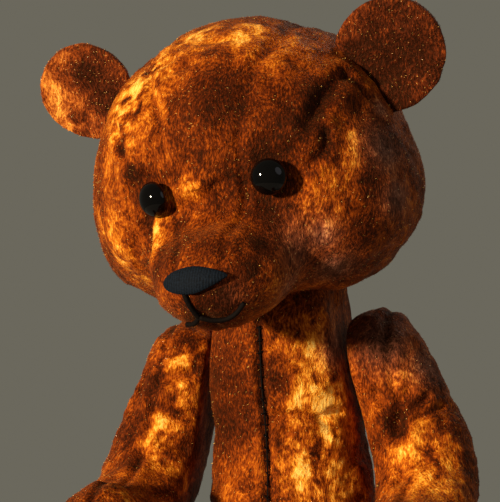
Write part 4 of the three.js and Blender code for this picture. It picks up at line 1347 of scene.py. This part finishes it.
def add_leg(side, sign, shift):
    joint = joints[f"hip_{side}"]
    axis = Vector(joint["axis"])
    place = Matrix.Translation(joint["pos_m"]) @ Matrix.Rotation(atan2(axis.y, axis.x), 4, "Z")
    floor = -joint["pos_m"][2] / MM + FLOOR_GAP
    bm, points, rings = limb_ball(LEG, 56, 92)
    points = grown_foot(points, *rings)
    points[:, 2] = -joined(-points[:, 2], np.full(len(points), -floor), 1.5)
    bm = limb_mesh(bm, flatten_inside(points, SKIN_FACE), sign)

    def rim(points):
        edge = np.hypot(points[:, 1] + SOLE_AT, 0.3)
        return np.where(points[:, 1] < -SOLE_AT + 3, edge, 9.0)

    def held(points):
        points = points * (sign, 1, 1)
        flats = np.maximum(near_to(points[:, 0] - SKIN_FACE, 0.8), near_to(points[:, 2] - floor, 0.8))
        seams = np.maximum(near_to(points[:, 0] - FOOT[0][0], 0.9) * (points[:, 1] > -SOLE_AT + 1),
                           near_to(rim(points), 1.2))
        return np.maximum(flats, seams)

    def relief(points):
        points = points * (sign, 1, 1)
        free = 1 - np.maximum(near_to(points[:, 0] - SKIN_FACE, 1.0), near_to(points[:, 2] - floor, 0.9))
        on_leg = points[:, 1] > -SOLE_AT + 1.5
        moved = fold(np.abs(points[:, 0] - FOOT[0][0]), 0.5, 0.8) * on_leg
        moved += 0.5 * noise_at(points, 10, 2, shift + 2) + 0.28 * noise_at(points, 4.4, 2, shift + 5)
        moved += 0.12 * noise_at(points, 2.0, 2, shift + 8)
        ankle = path_distance(points, ((2, -44, 8), (11, -46, 11), (20, -44, 8)))
        moved += fold(ankle, 0.9, 1.8)
        return free * np.maximum(moved, DEEPEST) - 0.1

    leg, points = sew(f"leg_{side}", bm, place, held, relief)
    points = points * (sign, 1, 1)
    # Darker at the end of the foot, painted shade in the ankle fold, the seam and round the sole's rim, and a
    # little mauve painted sheen all over.
    nap = nap_with_sheen_and_shade(points, shift, ((11, -76, 6, 8, -0.08), (11, -46, 11, 5, -0.15)))
    nap -= 0.14 * near_to(points[:, 0] - FOOT[0][0], 0.8) * (points[:, 1] > -SOLE_AT + 1)
    nap -= 0.2 * near_to(rim(points), 1.0)
    dress(leg, f"leg_{side}", nap, 0.15 * np.ones(len(points)), 0.9,
          f"leg_{side}_inner_panel", f"leg_{side}_outer_panel", f"foot_{side}_sole")
    grow_pile(f"leg_{side}_pile", leg, f"leg_{side}", place, LEG_TUFTS, shift, (0, -1, -0.3),
              lambda points: (points[:, 0] * sign > SKIN_FACE + 1.0) & (points[:, 2] > floor + 0.7))


def grown_foot(points, at, length, middle, size, width, height):
    """Lets the foot's oval swell the leg's rings, and flattens the last of them into the sole."""
    (foot_x, foot_y, foot_z), (across, along, tall) = FOOT
    end = length - LEG["cap"]
    heel = end - FOOT_LENGTH
    late = at > heel
    y = np.where(late, np.interp(at, (heel, end), (-42.0, -SOLE_AT + 0.8)), points[:, 1])
    y = np.where(at > end, -SOLE_AT - 0.5 * np.sqrt(np.maximum(1 - size ** 2, 0)), y)
    share = np.sqrt(np.maximum(1 - ((np.maximum(y, -SOLE_AT) - foot_y) / along) ** 2, 0))
    ring = np.hypot(width, height)
    direction_x = width / np.maximum(ring, 1e-6)
    direction_z = -height / np.maximum(ring, 1e-6)
    a, b = np.maximum(across * share, 0.01), np.maximum(tall * share, 0.01)
    oz = (middle[:, 2] - foot_z) / b
    ox = (middle[:, 0] - foot_x) / a
    qa = (direction_x / a) ** 2 + (direction_z / b) ** 2
    qb = 2 * (ox * direction_x / a + oz * direction_z / b)
    qc = ox ** 2 + oz ** 2 - 1
    inner = qb ** 2 - 4 * qa * qc
    reach = np.where(inner > 0, (-qb + np.sqrt(np.maximum(inner, 0))) / (2 * qa), 0)
    reach = -joined(-reach, -ring, 3.0)
    spread = np.where(late, reach * size, ring * size)
    grown = points.copy()
    grown[:, 0] = np.where(late, middle[:, 0] + direction_x * spread, points[:, 0])
    grown[:, 2] = np.where(late, middle[:, 2] + direction_z * spread, points[:, 2])
    grown[:, 1] = np.where(late, y, points[:, 1])
    return grown


add_leg("left", 1, 61.0)
add_leg("right", -1, 67.0)

# ---- filling ----
# Loose polyester fibre, packed inside every cover. It takes the shape that the cover was cut to,
# drawn in far enough to stay under the deepest fold.
FILLING_INSET = 3.2
polyester_fibre = grained_material(
    "polyester_fibre", {"Scale": 900, "Detail": 6, "Distortion": 2},
    ((0.42, 0.38, 0.31, 1), (0.86, 0.83, 0.76, 1)),
    0.8, 0.0006, {"Roughness": 0.95},
)


def add_filling(filling, body, stuffing):
    mesh = filling.data
    inside = mesh_points(mesh) - FILLING_INSET * MM * mesh_points(mesh, "normal")
    mesh.vertices.foreach_set("co", inside.ravel())
    mesh.update()
    mesh.materials.append(polyester_fibre)
    bpy.context.scene.collection.objects.link(filling)
    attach(filling, body)
    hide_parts(*stuffing)


for filling, body, stuffing in fillings:
    add_filling(filling, body, stuffing)

# ---- joints and eye loops ----
# Each joint is two hardboard discs and two steel washers drawn together by a split pin, all
# inside the stuffing. The eyes are tied in by steel wire loops. They keep the CAD shapes.
pressed_hardboard = grained_material(
    "pressed_hardboard", {"Scale": 1500, "Detail": 5},
    ((0.085, 0.045, 0.022, 1), (0.36, 0.22, 0.12, 1)),
    0.3, 0.0001, {"Roughness": 0.75},
)


def steel_material():
    material, tree, shader = new_material("zinc_plated_steel", {"Metallic": 1})
    plating = fine_noise(tree, {"Scale": 1200, "Detail": 4})
    stops = ((0.0, (0.38, 0.38, 0.38, 1)), (1.0, (0.70, 0.70, 0.69, 1)))
    set_inputs(tree, shader, {
        "Base Color": colour_ramp(tree, plating, stops),
        "Roughness": scaled(tree, plating, {"To Min": 0.25, "To Max": 0.5}),
    })
    return material


plated_steel = steel_material()
for name, node in frame["nodes"].items():
    if "_disc_" in name:
        node.material_slots[0].material = pressed_hardboard
    elif "_washer_" in name or name.endswith(("_split_pin", "_loop")):
        node.material_slots[0].material = plated_steel
